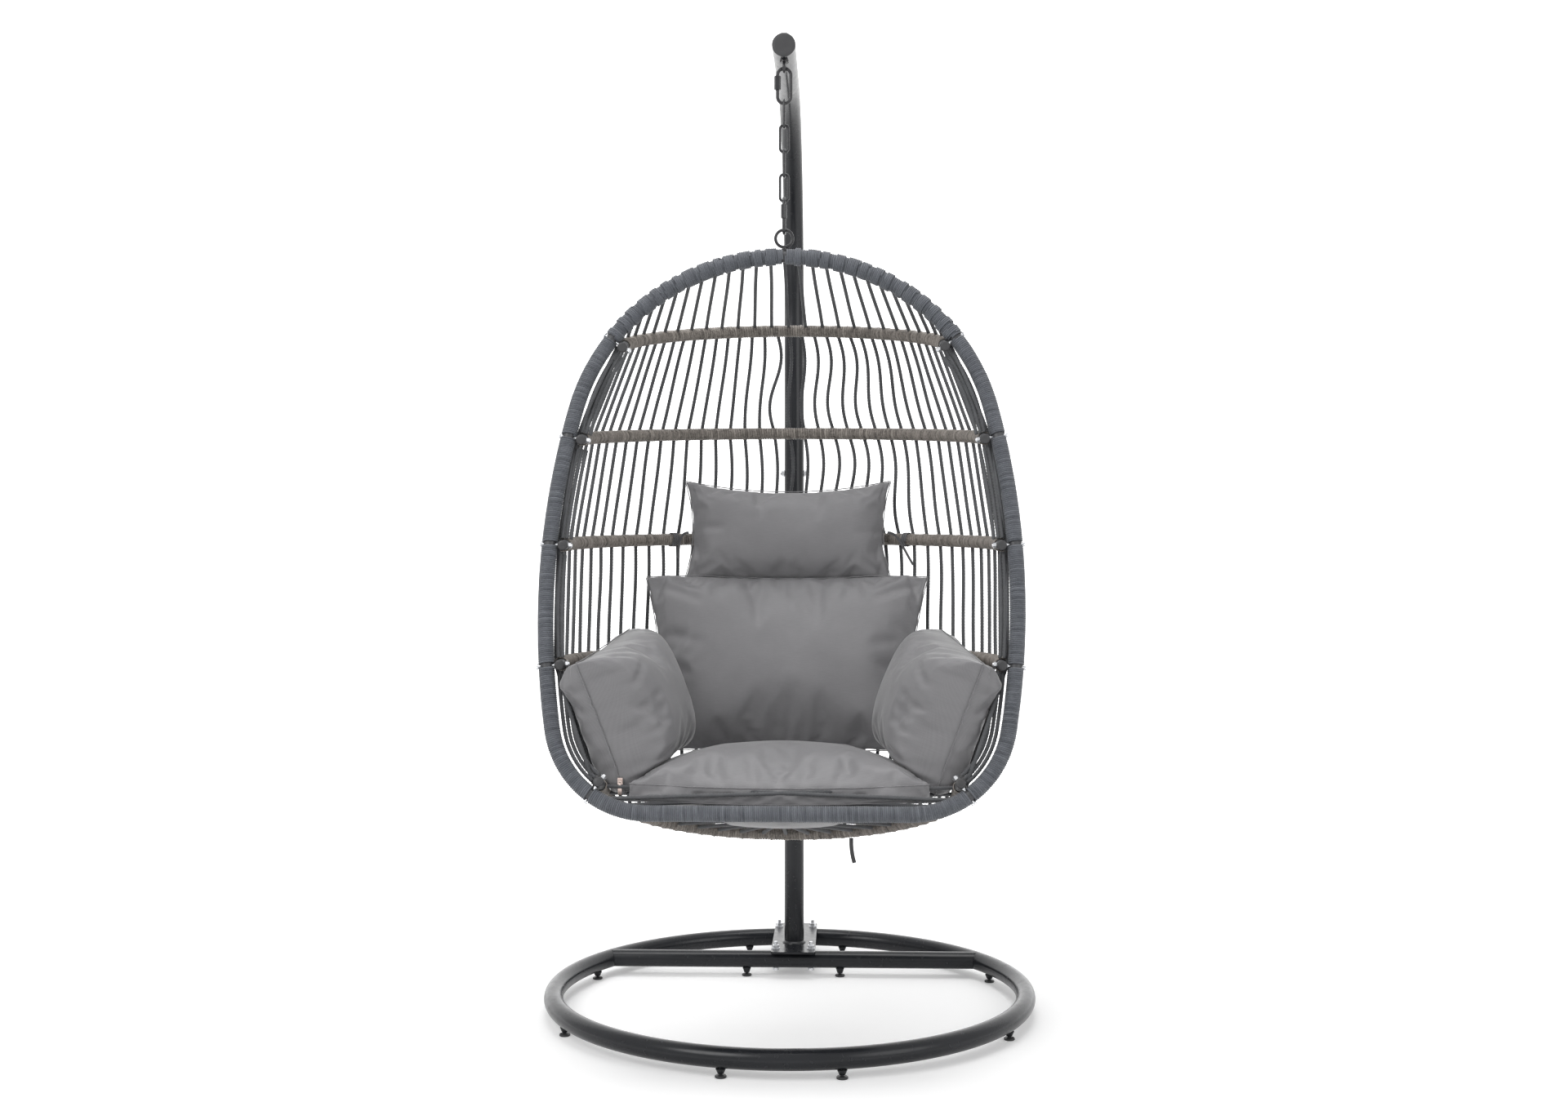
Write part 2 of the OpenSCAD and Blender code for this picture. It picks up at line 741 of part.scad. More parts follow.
module rib_tube(k) {
    color(steel) difference() {
        rib_loop(k - 1, -rib_nose, rib_tube_d, basket_wall);
        rib_bolt_holes([k - 1]);
    }
}

module rib_wraps() {
    color(wicker) for (i = [0:4])
        rib_loop(i, rib_bare[i], rib_wrap_d, (rib_wrap_d - rib_tube_d) / 2 - 0.1);
}

module rib_bolts() {
    color(zinc) at_rib_bolts([0, 1, 2, 3, 4]) {
        inner = rib_nut_seat($rib) + rib_nut_h + 2;
        translate([0, 0, rim_wrap_r + 0.2]) cylinder(h = 3, d = 10.5);
        translate([0, 0, -inner]) cylinder(h = inner + rim_wrap_r + 0.3, d = rib_bolt_d);
    }
}

module rib_nuts() {
    color(zinc) at_rib_bolts([0, 1, 2, 3, 4])
        translate([0, 0, -rib_nut_seat($rib) - rib_nut_h])
            hex_nut(rib_nut_af, rib_nut_h, rib_bolt_d + 2 * fit);
}

// one straight rope between its seats on two round pieces
module rope(a, b) {
    start = a[0] + a[3];
    end = b[0] + b[3];
    dir = unit(end - start);
    p = start + dir * rope_trim(dir, a);
    q = end - dir * rope_trim(-dir, b);
    if ((q - p) * dir > rope_min)
        rod(p, q, rope_d);
}

function rope_share(k, n) = (k + 0.5) / n;
function rib_out(i, f) = unit(cross(turn_x([0, 0, 1], rib_tilt[i]), rib_along(i, f)));
function rib_seat(i, f, out = rope_out) =
    [rib_point(i, f), rib_along(i, f), rib_wrap_r, out * rib_out(i, f), out > 0 ? over_room : butt_room];
function rim_seat(point, along) = [point, along, rim_wrap_r, [0, 0, 0], butt_room];

module hood_ropes() {
    color(rope_grey) on_stand() for (k = [0:hood_rope_n - 1]) {
        f = rope_share(k, hood_rope_n);
        rope(rim_seat(hood_point(f), hood_along(f)), rib_seat(0, f));
    }
}

module back_ropes() {
    color(rope_grey) on_stand() for (i = [0:2], k = [0:back_rope_n - 1]) {
        f = rope_share(k, back_rope_n);
        rope(rib_seat(i, f), rib_seat(i + 1, f));
    }
}

module seat_ropes() {
    color(rope_grey) on_stand() {
        for (k = [0:back_rope_n - 1]) {
            f = rope_share(k, back_rope_n);
            rope(rib_seat(3, f), rib_seat(4, f));
        }
        for (k = [0:seat_rope_n - 1]) {
            f = rope_share(k, seat_rope_n);
            rope(rib_seat(4, f, 0), rim_seat(low_point(f), low_along(f)));
        }
    }
}

// a stuffed cushion, upright in the XZ plane, of width w0 below and w1 above, whose ends bend forward:
// share of its thickness in front, wedge of its rear face, dome on its front and rise of its top edge
function spread(i, n) = sin(180 * i / n - 90);
function pillow_point(u, v, side, w0, w1, h, t, edge, bend, share = 0.5, wedge = 0, dome = 0, rise = 0) =
    let (
        half = w0 / 2 + (w1 - w0) * (v + 1) / 4,
        x = half * u * (1 - draw_in * pow(abs(u), 3) * (1 - v * v)),
        up = rise * pow(max(v, 0), 3) * (1 - u * u),
        z = h / 2 * v * (1 - draw_in * pow(abs(v), 3) * (1 - u * u)) + up,
        crown = pow((1 - pow(u, 4)) * (1 - pow(v, 4)), 0.6),
        bulge = side < 0 ? t * share - dome : t * (1 - share) * (1 + wedge * v),
        top = side < 0 ? dome * (1 - u * u) * (1 - v * v) : 0,
        y = side * (edge / 2 + (bulge - edge / 2) * crown + top),
        a = x / bend * 180 / PI
    )
    [(bend + y) * sin(a), (bend + y) * cos(a) - bend, z];

module pillow(w0, w1, h, t, bend, edge = welt, share = 0.5, wedge = 0, dome = 0, rise = 0, n = 18, m = 12) {
    row = n + 1;
    sheet = row * (m + 1);
    points = [
        for (side = [-1, 1], j = [0:m], i = [0:n])
            pillow_point(spread(i, n), spread(j, m), side, w0, w1, h, t, edge, bend,
                share, wedge, dome, rise)
    ];
    front = [
        for (j = [0:m - 1], i = [0:n - 1])
            let (a = j * row + i)
                each [[a, a + row, a + 1], [a + 1, a + row, a + row + 1]]
    ];
    back = [for (f = front) [f[0] + sheet, f[2] + sheet, f[1] + sheet]];
    border = concat(
        [for (i = [0:n - 1]) i], [for (j = [0:m - 1]) j * row + n],
        [for (i = [n:-1:1]) m * row + i], [for (j = [m:-1:1]) j * row]
    );
    count = len(border);
    band = [
        for (k = [0:count - 1])
            let (a = border[k], b = border[(k + 1) % count])
                each [[a, b, a + sheet], [b, b + sheet, a + sheet]]
    ];
    polyhedron(points, concat(front, back, band));
}

// places of the cushions, each next to the ribs or the rim that hold it
rim_low = rim_to_world([0, 0, -rim_drop]);
seat_spot = rim_low + [0, seat_depth / 2 + seat_inset, seat_t * (1 - seat_share) - seat_sink];
back_spot = rib_point(3, 0.5) - [0, rib_wrap_r + back_t / 2 + back_room, back_drop];
arm_side = rib_hw(3) + arm_level * (rib_hw(4) - rib_hw(3));
arm_spot = rib_base(3) + [arm_side - arm_t * (1 - arm_share) - arm_room, arm_inset, -arm_drop];
head_spot = rib_point(2, 0.5) + [0, -rib_wrap_r - head_t / 2 - head_room, head_rise];

module seat_cushion() {
    color(cloth) on_stand() translate(seat_spot) rotate([-90 + seat_tilt, 0, 0])
        pillow(seat_w, seat_back_w, seat_depth, seat_t, seat_bend, seat_box,
            share = seat_share, wedge = seat_wedge, dome = seat_dome);
}

module back_cushion() {
    color(cloth) on_stand() translate(back_spot) rotate([-back_lean, 0, 0])
        pillow(back_w - back_taper, back_w, back_h, back_t, back_bend, rise = back_rise);
}

module arm_cushion() {
    translate(arm_spot) rotate([0, 0, arm_turn - 90]) rotate([-arm_lean, 0, 0]) rotate([0, arm_dip, 0])
        pillow(arm_len - arm_taper, arm_len, arm_h, arm_t, arm_bend, welt, arm_share);
}

module arm_cushion_left() {
    color(cloth) on_stand() mirror([1, 0, 0]) arm_cushion();
}

module arm_cushion_right() {
    color(cloth) on_stand() arm_cushion();
}

module head_cushion() {
    color(cloth) on_stand() translate(head_spot) rotate([-head_lean, 0, 0])
        pillow(head_w, head_w, head_h, head_t, head_bend);
}

// the zip at the lower front of the left arm cushion: a slider with a pin, and a pull that hangs on it
function turn_y(p, a) = [p.x * cos(a) + p.z * sin(a), p.y, p.z * cos(a) - p.x * sin(a)];
function turn_z(p, a) = [p.x * cos(a) - p.y * sin(a), p.x * sin(a) + p.y * cos(a), p.z];
function arm_front(v) =
    let (p = pillow_point(1, v, 0, arm_len - arm_taper, arm_len, arm_h, arm_t, welt, arm_bend))
        arm_spot + turn_z(turn_x(turn_y(p, arm_dip), -arm_lean), arm_turn - 90);
zip_room = 3.5;
zip_pin_y = -5;
zip_pin_d = 1.8;
zip_edge = arm_front(-0.8);
zip_spot = [-zip_edge.x, zip_edge.y - zip_room, zip_edge.z];

module at_zip() {
    on_stand() translate(zip_spot) children();
}

module along_x(len, d) {
    translate([-len / 2, 0, 0]) rotate([0, 90, 0]) cylinder(h = len, d = d);
}

module zip_slider() {
    color(zinc) at_zip() {
        translate([-4.5, -2.5, -6]) cube([9, 5, 12]);
        for (s = [-1, 1])
            translate([s * 2.8 - 0.7, -6.5, -2]) cube([1.4, 4.5, 4]);
        translate([0, zip_pin_y, 0]) along_x(6.4, zip_pin_d);
    }
}

module zip_pull() {
    color(zinc) at_zip() translate([0, zip_pin_y, 0]) difference() {
        union() {
            along_x(3.6, 4.4);
            translate([-1.8, -0.8, -8]) cube([3.6, 1.6, 8]);
            translate([-3.5, -0.8, -24]) cube([7, 1.6, 17]);
        }
        along_x(10, zip_pin_d + 2 * fit);
    }
}

// a soft tape as a tube swept along the points of its route
function tape_dir(r, i) = unit(r[min(i + 1, len(r) - 1)] - r[max(i - 1, 0)]);
function tape_side(d) = unit(cross(d, [0.2, 1, 0.1]));
function tape_ring(r, i, sides) =
    let (d = tape_dir(r, i), a = tape_side(d), b = cross(d, a))
        [for (k = [0:sides - 1]) r[i] + tape_d / 2 * (a * cos(360 * k / sides) + b * sin(360 * k / sides))];

module tape(route) {
    sides = 8;
    last = (len(route) - 1) * sides;
    points = [for (i = [0:len(route) - 1]) each tape_ring(route, i, sides)];
    wall = [
        for (i = [0:len(route) - 2], k = [0:sides - 1])
            let (a = i * sides + k, b = i * sides + (k + 1) % sides)
                each [[a, a + sides, b], [b, a + sides, b + sides]]
    ];
    first_end = [for (k = [1:sides - 2]) [0, k, k + 1]];
    last_end = [for (k = [1:sides - 2]) [last, last + k + 1, last + k]];
    color(cloth) on_stand() polyhedron(points, concat(wall, first_end, last_end));
}

module head_tie_left() {
    tape(left_tape);
}

module head_tie_right() {
    tape(right_tape);
}

module seat_strap() {
    tape(strap);
}

base_ring();
crossbar_left();
crossbar_right();
base_plate();
plate_bolts();
plate_washers();
plate_nuts();
lower_post();
upper_arm();
post_bolt();
post_nut();
arm_cap();
eye_bolt();
eye_nut();
foot_bosses();
levelling_foot(1);  // foot_1
levelling_foot(2);  // foot_2
levelling_foot(3);  // foot_3
levelling_foot(4);  // foot_4
levelling_foot(5);  // foot_5
levelling_foot(6);  // foot_6
levelling_foot(7);  // foot_7
levelling_foot(8);  // foot_8
levelling_foot(9);  // foot_9
levelling_foot(10);  // foot_10
top_quick_link();
top_link_sleeve();
chain_link_1();
chain_link_2();
chain_link_3();
chain_link_4();
bottom_quick_link();
bottom_link_sleeve();
hanging_ring();
rim_tube();
rim_wrap();
rib_tube(1);  // rib_tube_1
rib_tube(2);  // rib_tube_2
rib_tube(3);  // rib_tube_3
rib_tube(4);  // rib_tube_4
rib_tube(5);  // rib_tube_5
rib_wraps();
rib_bolts();
rib_nuts();
hood_ropes();
back_ropes();
seat_ropes();
seat_cushion();
back_cushion();
arm_cushion_left();
arm_cushion_right();
head_cushion();
zip_slider();
zip_pull();
head_tie_left();
head_tie_right();
seat_strap();
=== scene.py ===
import bpy
import bmesh
import math
import random
import numpy as np
from mathutils import Vector, Matrix
from mathutils.bvhtree import BVHTree


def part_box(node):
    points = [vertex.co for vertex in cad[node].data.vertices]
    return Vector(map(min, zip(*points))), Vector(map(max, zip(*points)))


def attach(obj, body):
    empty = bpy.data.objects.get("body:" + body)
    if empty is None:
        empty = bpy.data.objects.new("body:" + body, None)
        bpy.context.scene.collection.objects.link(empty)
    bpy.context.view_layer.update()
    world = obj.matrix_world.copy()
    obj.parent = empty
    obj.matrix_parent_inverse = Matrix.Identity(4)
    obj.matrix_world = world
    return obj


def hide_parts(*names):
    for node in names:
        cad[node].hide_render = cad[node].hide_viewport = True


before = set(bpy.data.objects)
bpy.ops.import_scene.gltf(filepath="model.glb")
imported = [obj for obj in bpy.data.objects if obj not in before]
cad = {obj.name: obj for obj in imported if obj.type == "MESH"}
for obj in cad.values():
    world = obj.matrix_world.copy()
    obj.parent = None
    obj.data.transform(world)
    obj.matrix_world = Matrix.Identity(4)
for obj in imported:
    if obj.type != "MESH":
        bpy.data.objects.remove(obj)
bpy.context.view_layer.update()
scene = bpy.context.scene
scene.view_settings.view_transform = "Standard"
print("frame loaded:", len(cad), "nodes")


# small helpers for node trees
def feed(tree, node, feeds):
    for key, value in feeds.items():
        socket = node.inputs[key]
        if isinstance(value, bpy.types.NodeSocket):
            tree.links.new(value, socket)
        else:
            socket.default_value = value


def add(tree, kind, feeds=None, **settings):
    node = tree.nodes.new(kind)
    for key, value in settings.items():
        setattr(node, key, value)
    feed(tree, node, feeds or {})
    return node


def calc(tree, operation, *values):
    return add(tree, "ShaderNodeMath", dict(enumerate(values)), operation=operation).outputs[0]


def vecCalc(tree, operation, *values):
    return add(tree, "ShaderNodeVectorMath", dict(enumerate(values)), operation=operation).outputs[0]


def scaleVec(tree, vector, factor):
    return add(tree, "ShaderNodeVectorMath", {0: vector, "Scale": factor}, operation="SCALE").outputs[0]


def named(tree, label, kind="FLOAT"):
    return add(tree, "GeometryNodeInputNamedAttribute", {"Name": label}, data_type=kind).outputs[0]


def stored(tree, geometry, label, value, kind="FLOAT"):
    feeds = {"Geometry": geometry, "Name": label, "Value": value}
    return add(tree, "GeometryNodeStoreNamedAttribute", feeds, data_type=kind, domain="POINT").outputs[0]


def without(tree, geometry, *labels):
    for label in labels:
        geometry = add(tree, "GeometryNodeRemoveAttribute", {"Geometry": geometry, "Name": label}).outputs[0]
    return geometry


# camera: level, a little right of the middle, at about the seat's back height
cameraPlace = {"lens": 38.606, "sensor": 36.0, "height": 0.957, "distance": 3.56, "yaw": 1.8, "shift": -7 / 1920}
ringMiddle = (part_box("base_ring")[0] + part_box("base_ring")[1]) / 2
cameraData = bpy.data.cameras.new("photoCamera")
cameraData.lens = cameraPlace["lens"]
cameraData.sensor_width = cameraPlace["sensor"]
cameraData.shift_x = cameraPlace["shift"]
camera = bpy.data.objects.new("photoCamera", cameraData)
scene.collection.objects.link(camera)
yaw = math.radians(cameraPlace["yaw"])
camera.location = (
    ringMiddle.x + cameraPlace["distance"] * math.sin(yaw),
    ringMiddle.y - cameraPlace["distance"] * math.cos(yaw),
    cameraPlace["height"],
)
camera.rotation_euler = (math.pi / 2, 0, yaw)
scene.camera = camera


# materials
def newMaterial(name):
    material = bpy.data.materials.new(name)
    material.use_nodes = True
    tree = material.node_tree
    return material, tree, tree.nodes["Principled BSDF"]


def objectNoise(tree, scale, detail=4.0, rough=0.6):
    place = add(tree, "ShaderNodeTexCoord").outputs["Object"]
    feeds = {"Vector": place, "Scale": scale, "Detail": detail, "Roughness": rough}
    return add(tree, "ShaderNodeTexNoise", feeds).outputs[0]


def ramp(tree, factor, low, high, start=0.3, end=0.7):
    node = add(tree, "ShaderNodeValToRGB", {"Fac": factor})
    node.color_ramp.elements[0].position = start
    node.color_ramp.elements[1].position = end
    node.color_ramp.elements[0].color = (*low, 1)
    node.color_ramp.elements[1].color = (*high, 1)
    return node.outputs[0]


def spread(tree, factor, low, high):
    feeds = {"Value": factor, "From Min": 0.3, "From Max": 0.7, "To Min": low, "To Max": high}
    return add(tree, "ShaderNodeMapRange", feeds).outputs[0]


def bump(tree, shader, height, strength, distance, under=None):
    feeds = {"Height": height, "Strength": strength, "Distance": distance}
    if under:
        feeds["Normal"] = under
    normal = add(tree, "ShaderNodeBump", feeds).outputs[0]
    tree.links.new(normal, shader.inputs["Normal"])
    return normal


def coatedMetal(name, low, high, rough, peel, gloss=0.38):
    material, tree, shader = newMaterial(name)
    feed(tree, shader, {"Base Color": ramp(tree, objectNoise(tree, 7), low, high),
                        "Roughness": spread(tree, objectNoise(tree, 60), *rough), "Specular IOR Level": gloss})
    bump(tree, shader, objectNoise(tree, 650, 2.0), peel, 0.0002)
    return material


def bareMetal(name, low, high, rough):
    material, tree, shader = newMaterial(name)
    feed(tree, shader, {"Metallic": 1.0, "Base Color": ramp(tree, objectNoise(tree, 90), low, high),
                        "Roughness": spread(tree, objectNoise(tree, 400), *rough)})
    bump(tree, shader, objectNoise(tree, 900, 3.0), 0.15, 0.0001)
    return material


coatedMetal("frameCoat", (0.009, 0.010, 0.012), (0.015, 0.016, 0.019), rough=(0.20, 0.29), peel=0.10, gloss=0.28)
coatedMetal("chainBlack", (0.016, 0.016, 0.018), (0.030, 0.030, 0.033), rough=(0.2, 0.32), peel=0.12)
coatedMetal("basketCoat", (0.045, 0.046, 0.050), (0.070, 0.071, 0.076), rough=(0.36, 0.5), peel=0.16)
bareMetal("boltZinc", (0.55, 0.56, 0.58), (0.72, 0.73, 0.75), rough=(0.22, 0.4))
bareMetal("zipMetal", (0.40, 0.32, 0.29), (0.56, 0.47, 0.43), rough=(0.24, 0.4))


def grainedPlastic():
    material, tree, shader = newMaterial("capPlastic")
    colour = ramp(tree, objectNoise(tree, 25), (0.022, 0.022, 0.024), (0.034, 0.034, 0.036))
    feed(tree, shader, {"Base Color": colour, "Roughness": spread(tree, objectNoise(tree, 300), 0.42, 0.58)})
    bump(tree, shader, objectNoise(tree, 1400, 1.0), 0.35, 0.00015)
    return material


def strandMaterial(name, low, high, fibres, rough, relief, sheen):
    # colour drifts along the strand and from turn to turn, with fine fibres in the surface
    material, tree, shader = newMaterial(name)
    drift = objectNoise(tree, 55, 3.0)
    fibre = objectNoise(tree, fibres, 3.0, 0.7)
    turn = add(tree, "ShaderNodeAttribute", attribute_name="turn").outputs["Fac"]
    feeds = {"W": turn, "Scale": 0.6, "Detail": 2.0}
    rings = add(tree, "ShaderNodeTexNoise", feeds, noise_dimensions="1D").outputs[0]
    mixed = calc(tree, "MULTIPLY_ADD", fibre, 0.4, calc(tree, "MULTIPLY", drift, 0.25))
    mixed = calc(tree, "MULTIPLY_ADD", rings, 0.35, mixed)
    feed(tree, shader, {"Base Color": ramp(tree, mixed, low, high, 0.36, 0.64),
                        "Roughness": spread(tree, fibre, rough - 0.08, rough + 0.08),
                        "Sheen Weight": sheen, "Sheen Roughness": 0.5, "Specular IOR Level": 0.35})
    bump(tree, shader, fibre, relief, 0.0004)
    return material


capPlastic = grainedPlastic()
rimCord = strandMaterial("rimCord", (0.042, 0.047, 0.057), (0.138, 0.147, 0.166),
                         fibres=900, rough=0.68, relief=0.6, sheen=0.25)
ropeCord = strandMaterial("ropeCord", (0.046, 0.048, 0.052), (0.104, 0.107, 0.113),
                          fibres=800, rough=0.7, relief=0.6, sheen=0.2)
wickerStrand = strandMaterial("wickerStrand", (0.070, 0.061, 0.054), (0.330, 0.298, 0.268),
                              fibres=260, rough=0.44, relief=0.35, sheen=0.0)
tapeCloth = strandMaterial("tapeCloth", (0.050, 0.050, 0.053), (0.105, 0.105, 0.110),
                           fibres=1100, rough=0.75, relief=0.5, sheen=0.3)


def wovenCloth():
    # plain weave on the panels' own map, in metres, with a soft satin sheen
    material, tree, shader = newMaterial("cushionCloth")
    panel = add(tree, "ShaderNodeUVMap", uv_map="panel").outputs[0]
    threads = []
    for direction in ("X", "Y"):
        feeds = {"Vector": panel, "Scale": 330.0, "Distortion": 0.6, "Detail": 1.0, "Detail Scale": 2.0}
        threads.append(add(tree, "ShaderNodeTexWave", feeds, bands_direction=direction).outputs["Fac"])
    weave = calc(tree, "MULTIPLY", threads[0], threads[1])
    drift = objectNoise(tree, 14, 3.0)
    slub = add(tree, "ShaderNodeTexNoise", {
        "Vector": add(tree, "ShaderNodeMapping", {"Vector": panel, "Scale": (60, 900, 1)}).outputs[0],
        "Scale": 1.0, "Detail": 3.0}).outputs[0]
    mixed = calc(tree, "ADD", calc(tree, "MULTIPLY", drift, 0.5),
                 calc(tree, "MULTIPLY_ADD", slub, 0.35, calc(tree, "MULTIPLY", weave, 0.15)))
    colour = ramp(tree, mixed, (0.150, 0.148, 0.154), (0.200, 0.198, 0.204), 0.25, 0.75)
    feed(tree, shader, {"Base Color": colour, "Roughness": spread(tree, drift, 0.40, 0.50),
                        "Sheen Weight": 0.35, "Sheen Roughness": 0.35, "Specular IOR Level": 0.4})
    first = bump(tree, shader, weave, 0.25, 0.0002)
    bump(tree, shader, objectNoise(tree, 30, 4.0), 0.18, 0.0025, first)
    return material


cushionCloth = wovenCloth()

finishNodes = {
    "frameCoat": ["base_ring", "crossbar_left", "crossbar_right", "base_plate", "lower_post", "upper_arm",
                  "foot_bosses"],
    "boltZinc": ["plate_bolts", "plate_washers", "plate_nuts", "post_bolt", "post_nut", "rib_bolts", "rib_nuts"],
    "chainBlack": ["eye_bolt", "eye_nut", "top_quick_link", "top_link_sleeve", "chain_link_1", "chain_link_2",
                   "chain_link_3", "chain_link_4", "bottom_quick_link", "bottom_link_sleeve", "hanging_ring"],
    "basketCoat": ["rim_tube"] + ["rib_tube_%d" % k for k in range(1, 6)],
    "capPlastic": ["arm_cap"] + ["foot_%d" % k for k in range(1, 11)],
    "zipMetal": ["zip_slider", "zip_pull"],
}
for finish, names in finishNodes.items():
    for name in names:
        cad[name].data.materials.clear()
        cad[name].data.materials.append(bpy.data.materials[finish])
print("finishes on", sum(len(names) for names in finishNodes.values()), "nodes")


# stage: pale sweep, white world for the camera, soft lights at a plain level
stage = {"width": 16.0, "front": -7.0, "back": 4.5, "rise": 7.0, "curve": 2.0, "steps": 12,
         "floorGrey": 0.86, "floorRough": 0.9, "lift": 0.22, "liftFrom": 0.7, "liftTo": 2.4, "worldLight": 0.55}


def makeStage():
    profile = [(stage["front"], 0.0), (stage["back"] - stage["curve"], 0.0)]
    for k in range(1, stage["steps"] + 1):
        a = math.pi / 2 * k / stage["steps"]
        profile.append((stage["back"] - stage["curve"] + stage["curve"] * math.sin(a),
                        stage["curve"] * (1 - math.cos(a))))
    profile.append((stage["back"], stage["rise"]))
    verts = [(side * stage["width"] / 2, y, z) for y, z in profile for side in (-1, 1)]
    faces = [(2 * k, 2 * k + 1, 2 * k + 3, 2 * k + 2) for k in range(len(profile) - 1)]
    mesh = bpy.data.meshes.new("sweep")
    mesh.from_pydata(verts, [], faces)
    mesh.shade_smooth()
    sweep = bpy.data.objects.new("sweep", mesh)
    scene.collection.objects.link(sweep)
    material, tree, shader = newMaterial("sweepPaper")
    feed(tree, shader, {"Base Color": (stage["floorGrey"],) * 3 + (1,), "Roughness": stage["floorRough"]})
    path = add(tree, "ShaderNodeLightPath")
    seen = calc(tree, "MAXIMUM", path.outputs["Is Camera Ray"], path.outputs["Is Glossy Ray"])
    place = add(tree, "ShaderNodeTexCoord").outputs["Object"]
    away = add(tree, "ShaderNodeVectorMath", {0: place}, operation="LENGTH").outputs["Value"]
    lift = add(tree, "ShaderNodeMapRange", {"Value": away, "From Min": stage["liftFrom"], "From Max": stage["liftTo"],
                                            "To Min": stage["lift"], "To Max": 1.0}).outputs[0]
    glow = add(tree, "ShaderNodeEmission", {"Color": (1, 1, 1, 1), "Strength": calc(tree, "MULTIPLY", seen, lift)})
    both = add(tree, "ShaderNodeAddShader", {0: shader.outputs[0], 1: glow.outputs[0]})
    tree.links.new(both.outputs[0], tree.nodes["Material Output"].inputs["Surface"])
    mesh.materials.append(material)
    world = bpy.data.worlds.new("studioWorld")
    scene.world = world
    world.use_nodes = True
    tree = world.node_tree
    path = add(tree, "ShaderNodeLightPath")
    shown = calc(tree, "MAXIMUM", path.outputs["Is Camera Ray"],
                 calc(tree, "MAXIMUM", path.outputs["Is Glossy Ray"], path.outputs["Is Transmission Ray"]))
    feeds = {"Value": shown, "To Min": stage["worldLight"], "To Max": 1.0}
    strength = add(tree, "ShaderNodeMapRange", feeds).outputs[0]
    feed(tree, tree.nodes["Background"], {"Color": (1, 1, 1, 1), "Strength": strength})


lights = [
    {"name": "keyLight", "at": (-2.4, -3.0, 3.4), "size": 2.6, "power": 84},
    {"name": "fillLight", "at": (3.0, -2.6, 2.0), "size": 2.6, "power": 32},
    {"name": "topLight", "at": (0.0, -0.4, 4.6), "size": 3.0, "power": 92},
]
lightAim = Vector((0, -0.2, 0.9))


def makeLights():
    for lamp in lights:
        data = bpy.data.lights.new(lamp["name"], "AREA")
        data.shape = "DISK"
        data.size = lamp["size"]
        data.energy = lamp["power"]
        obj = bpy.data.objects.new(lamp["name"], data)
        obj.location = lamp["at"]
        aim = lightAim - Vector(lamp["at"])
        obj.rotation_euler = aim.to_track_quat("-Z", "Y").to_euler()
        scene.collection.objects.link(obj)


makeStage()
makeLights()
print("stage and lights placed")


# basket: the same rim and ribs as the construction, in metres
basket = {
    "halfWidth": 0.428, "rise": 0.656, "drop": 0.407, "topShare": 0.93, "cornerRadius": 0.179, "lean": 15.0,
    "wrapRadius": 0.015, "ribWrapRadius": 0.012, "ribTubeRadius": 0.0095, "ribGap": 0.0006,
    "ribDown": [0.169, 0.364, 0.572, 0.799, 1.030], "ribLegs": [0.025, 0.0449, 0.0694, 0.0737, 0.0813],
    "ribTilt": [12.5, 5.5, 2.0, 0.0, -22.0], "ribBare": [0.020, 0.016, 0.016, 0.014, 0.016], "ribNose": 0.010,
    "backRopes": 41, "hoodRopes": 29, "seatRopes": 25, "ropeOut": 0.011, "tangentStep": 0.002,
}
lean = math.radians(basket["lean"])
topR = basket["topShare"] * basket["halfWidth"]
topZ = basket["rise"] - topR
sideR = (topZ ** 2 + basket["halfWidth"] ** 2 - topR ** 2) / (2 * (basket["halfWidth"] - topR))
sideX = basket["halfWidth"] - sideR
cornerR = basket["cornerRadius"]
upAngle = math.atan2(topZ, -sideX)
lowAngle = math.asin((basket["drop"] - cornerR) / (sideR - cornerR))
cornerX = round(sideX + (sideR - cornerR) * math.cos(lowAngle), 4)
cornerZ = cornerR - basket["drop"]
rimLow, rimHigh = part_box("rim_wrap")
rimY = rimLow.y + basket["wrapRadius"] + basket["drop"] * math.sin(lean)
rimZ = rimHigh.z - basket["wrapRadius"] - basket["rise"] * math.cos(lean)


def onRim(x, s):
    return Vector((x, rimY + s * math.sin(lean), rimZ + s * math.cos(lean)))


def rimArc(s):
    if s > topZ + topR * math.sin(upAngle):
        return 0.0, topZ, topR, math.asin((s - topZ) / topR)
    if s > -sideR * math.sin(lowAngle):
        return sideX, 0.0, sideR, math.asin(s / sideR)
    return cornerX, cornerZ, cornerR, math.asin((s - cornerZ) / cornerR)


rimRuns = [topR * (math.pi / 2 - upAngle), sideR * (upAngle + lowAngle), cornerR * (math.pi / 2 - lowAngle), cornerX]
rimHalf = sum(rimRuns)


def rimFlat(d):
    # a point of the rim plane at distance d from the peak, right side for d > 0
    side, d = (1 if d >= 0 else -1), abs(d)
    if d > rimHalf:
        side, d = -side, 2 * rimHalf - d
    for run, (cx, cz, r, a) in zip(rimRuns, ((0, topZ, topR, math.pi / 2), (sideX, 0, sideR, upAngle),
                                             (cornerX, cornerZ, cornerR, -lowAngle))):
        if d <= run:
            return side * (cx + r * math.cos(a - d / r)), cz + r * math.sin(a - d / r)
        d -= run
    return side * (cornerX - d), -basket["drop"]


def rimPoint(d):
    return onRim(*rimFlat(d))


def rimDistance(s):
    low, high = 0.0, rimHalf - cornerX
    for _ in range(50):
        middle = (low + high) / 2
        low, high = (middle, high) if rimFlat(middle)[1] > s else (low, middle)
    return low


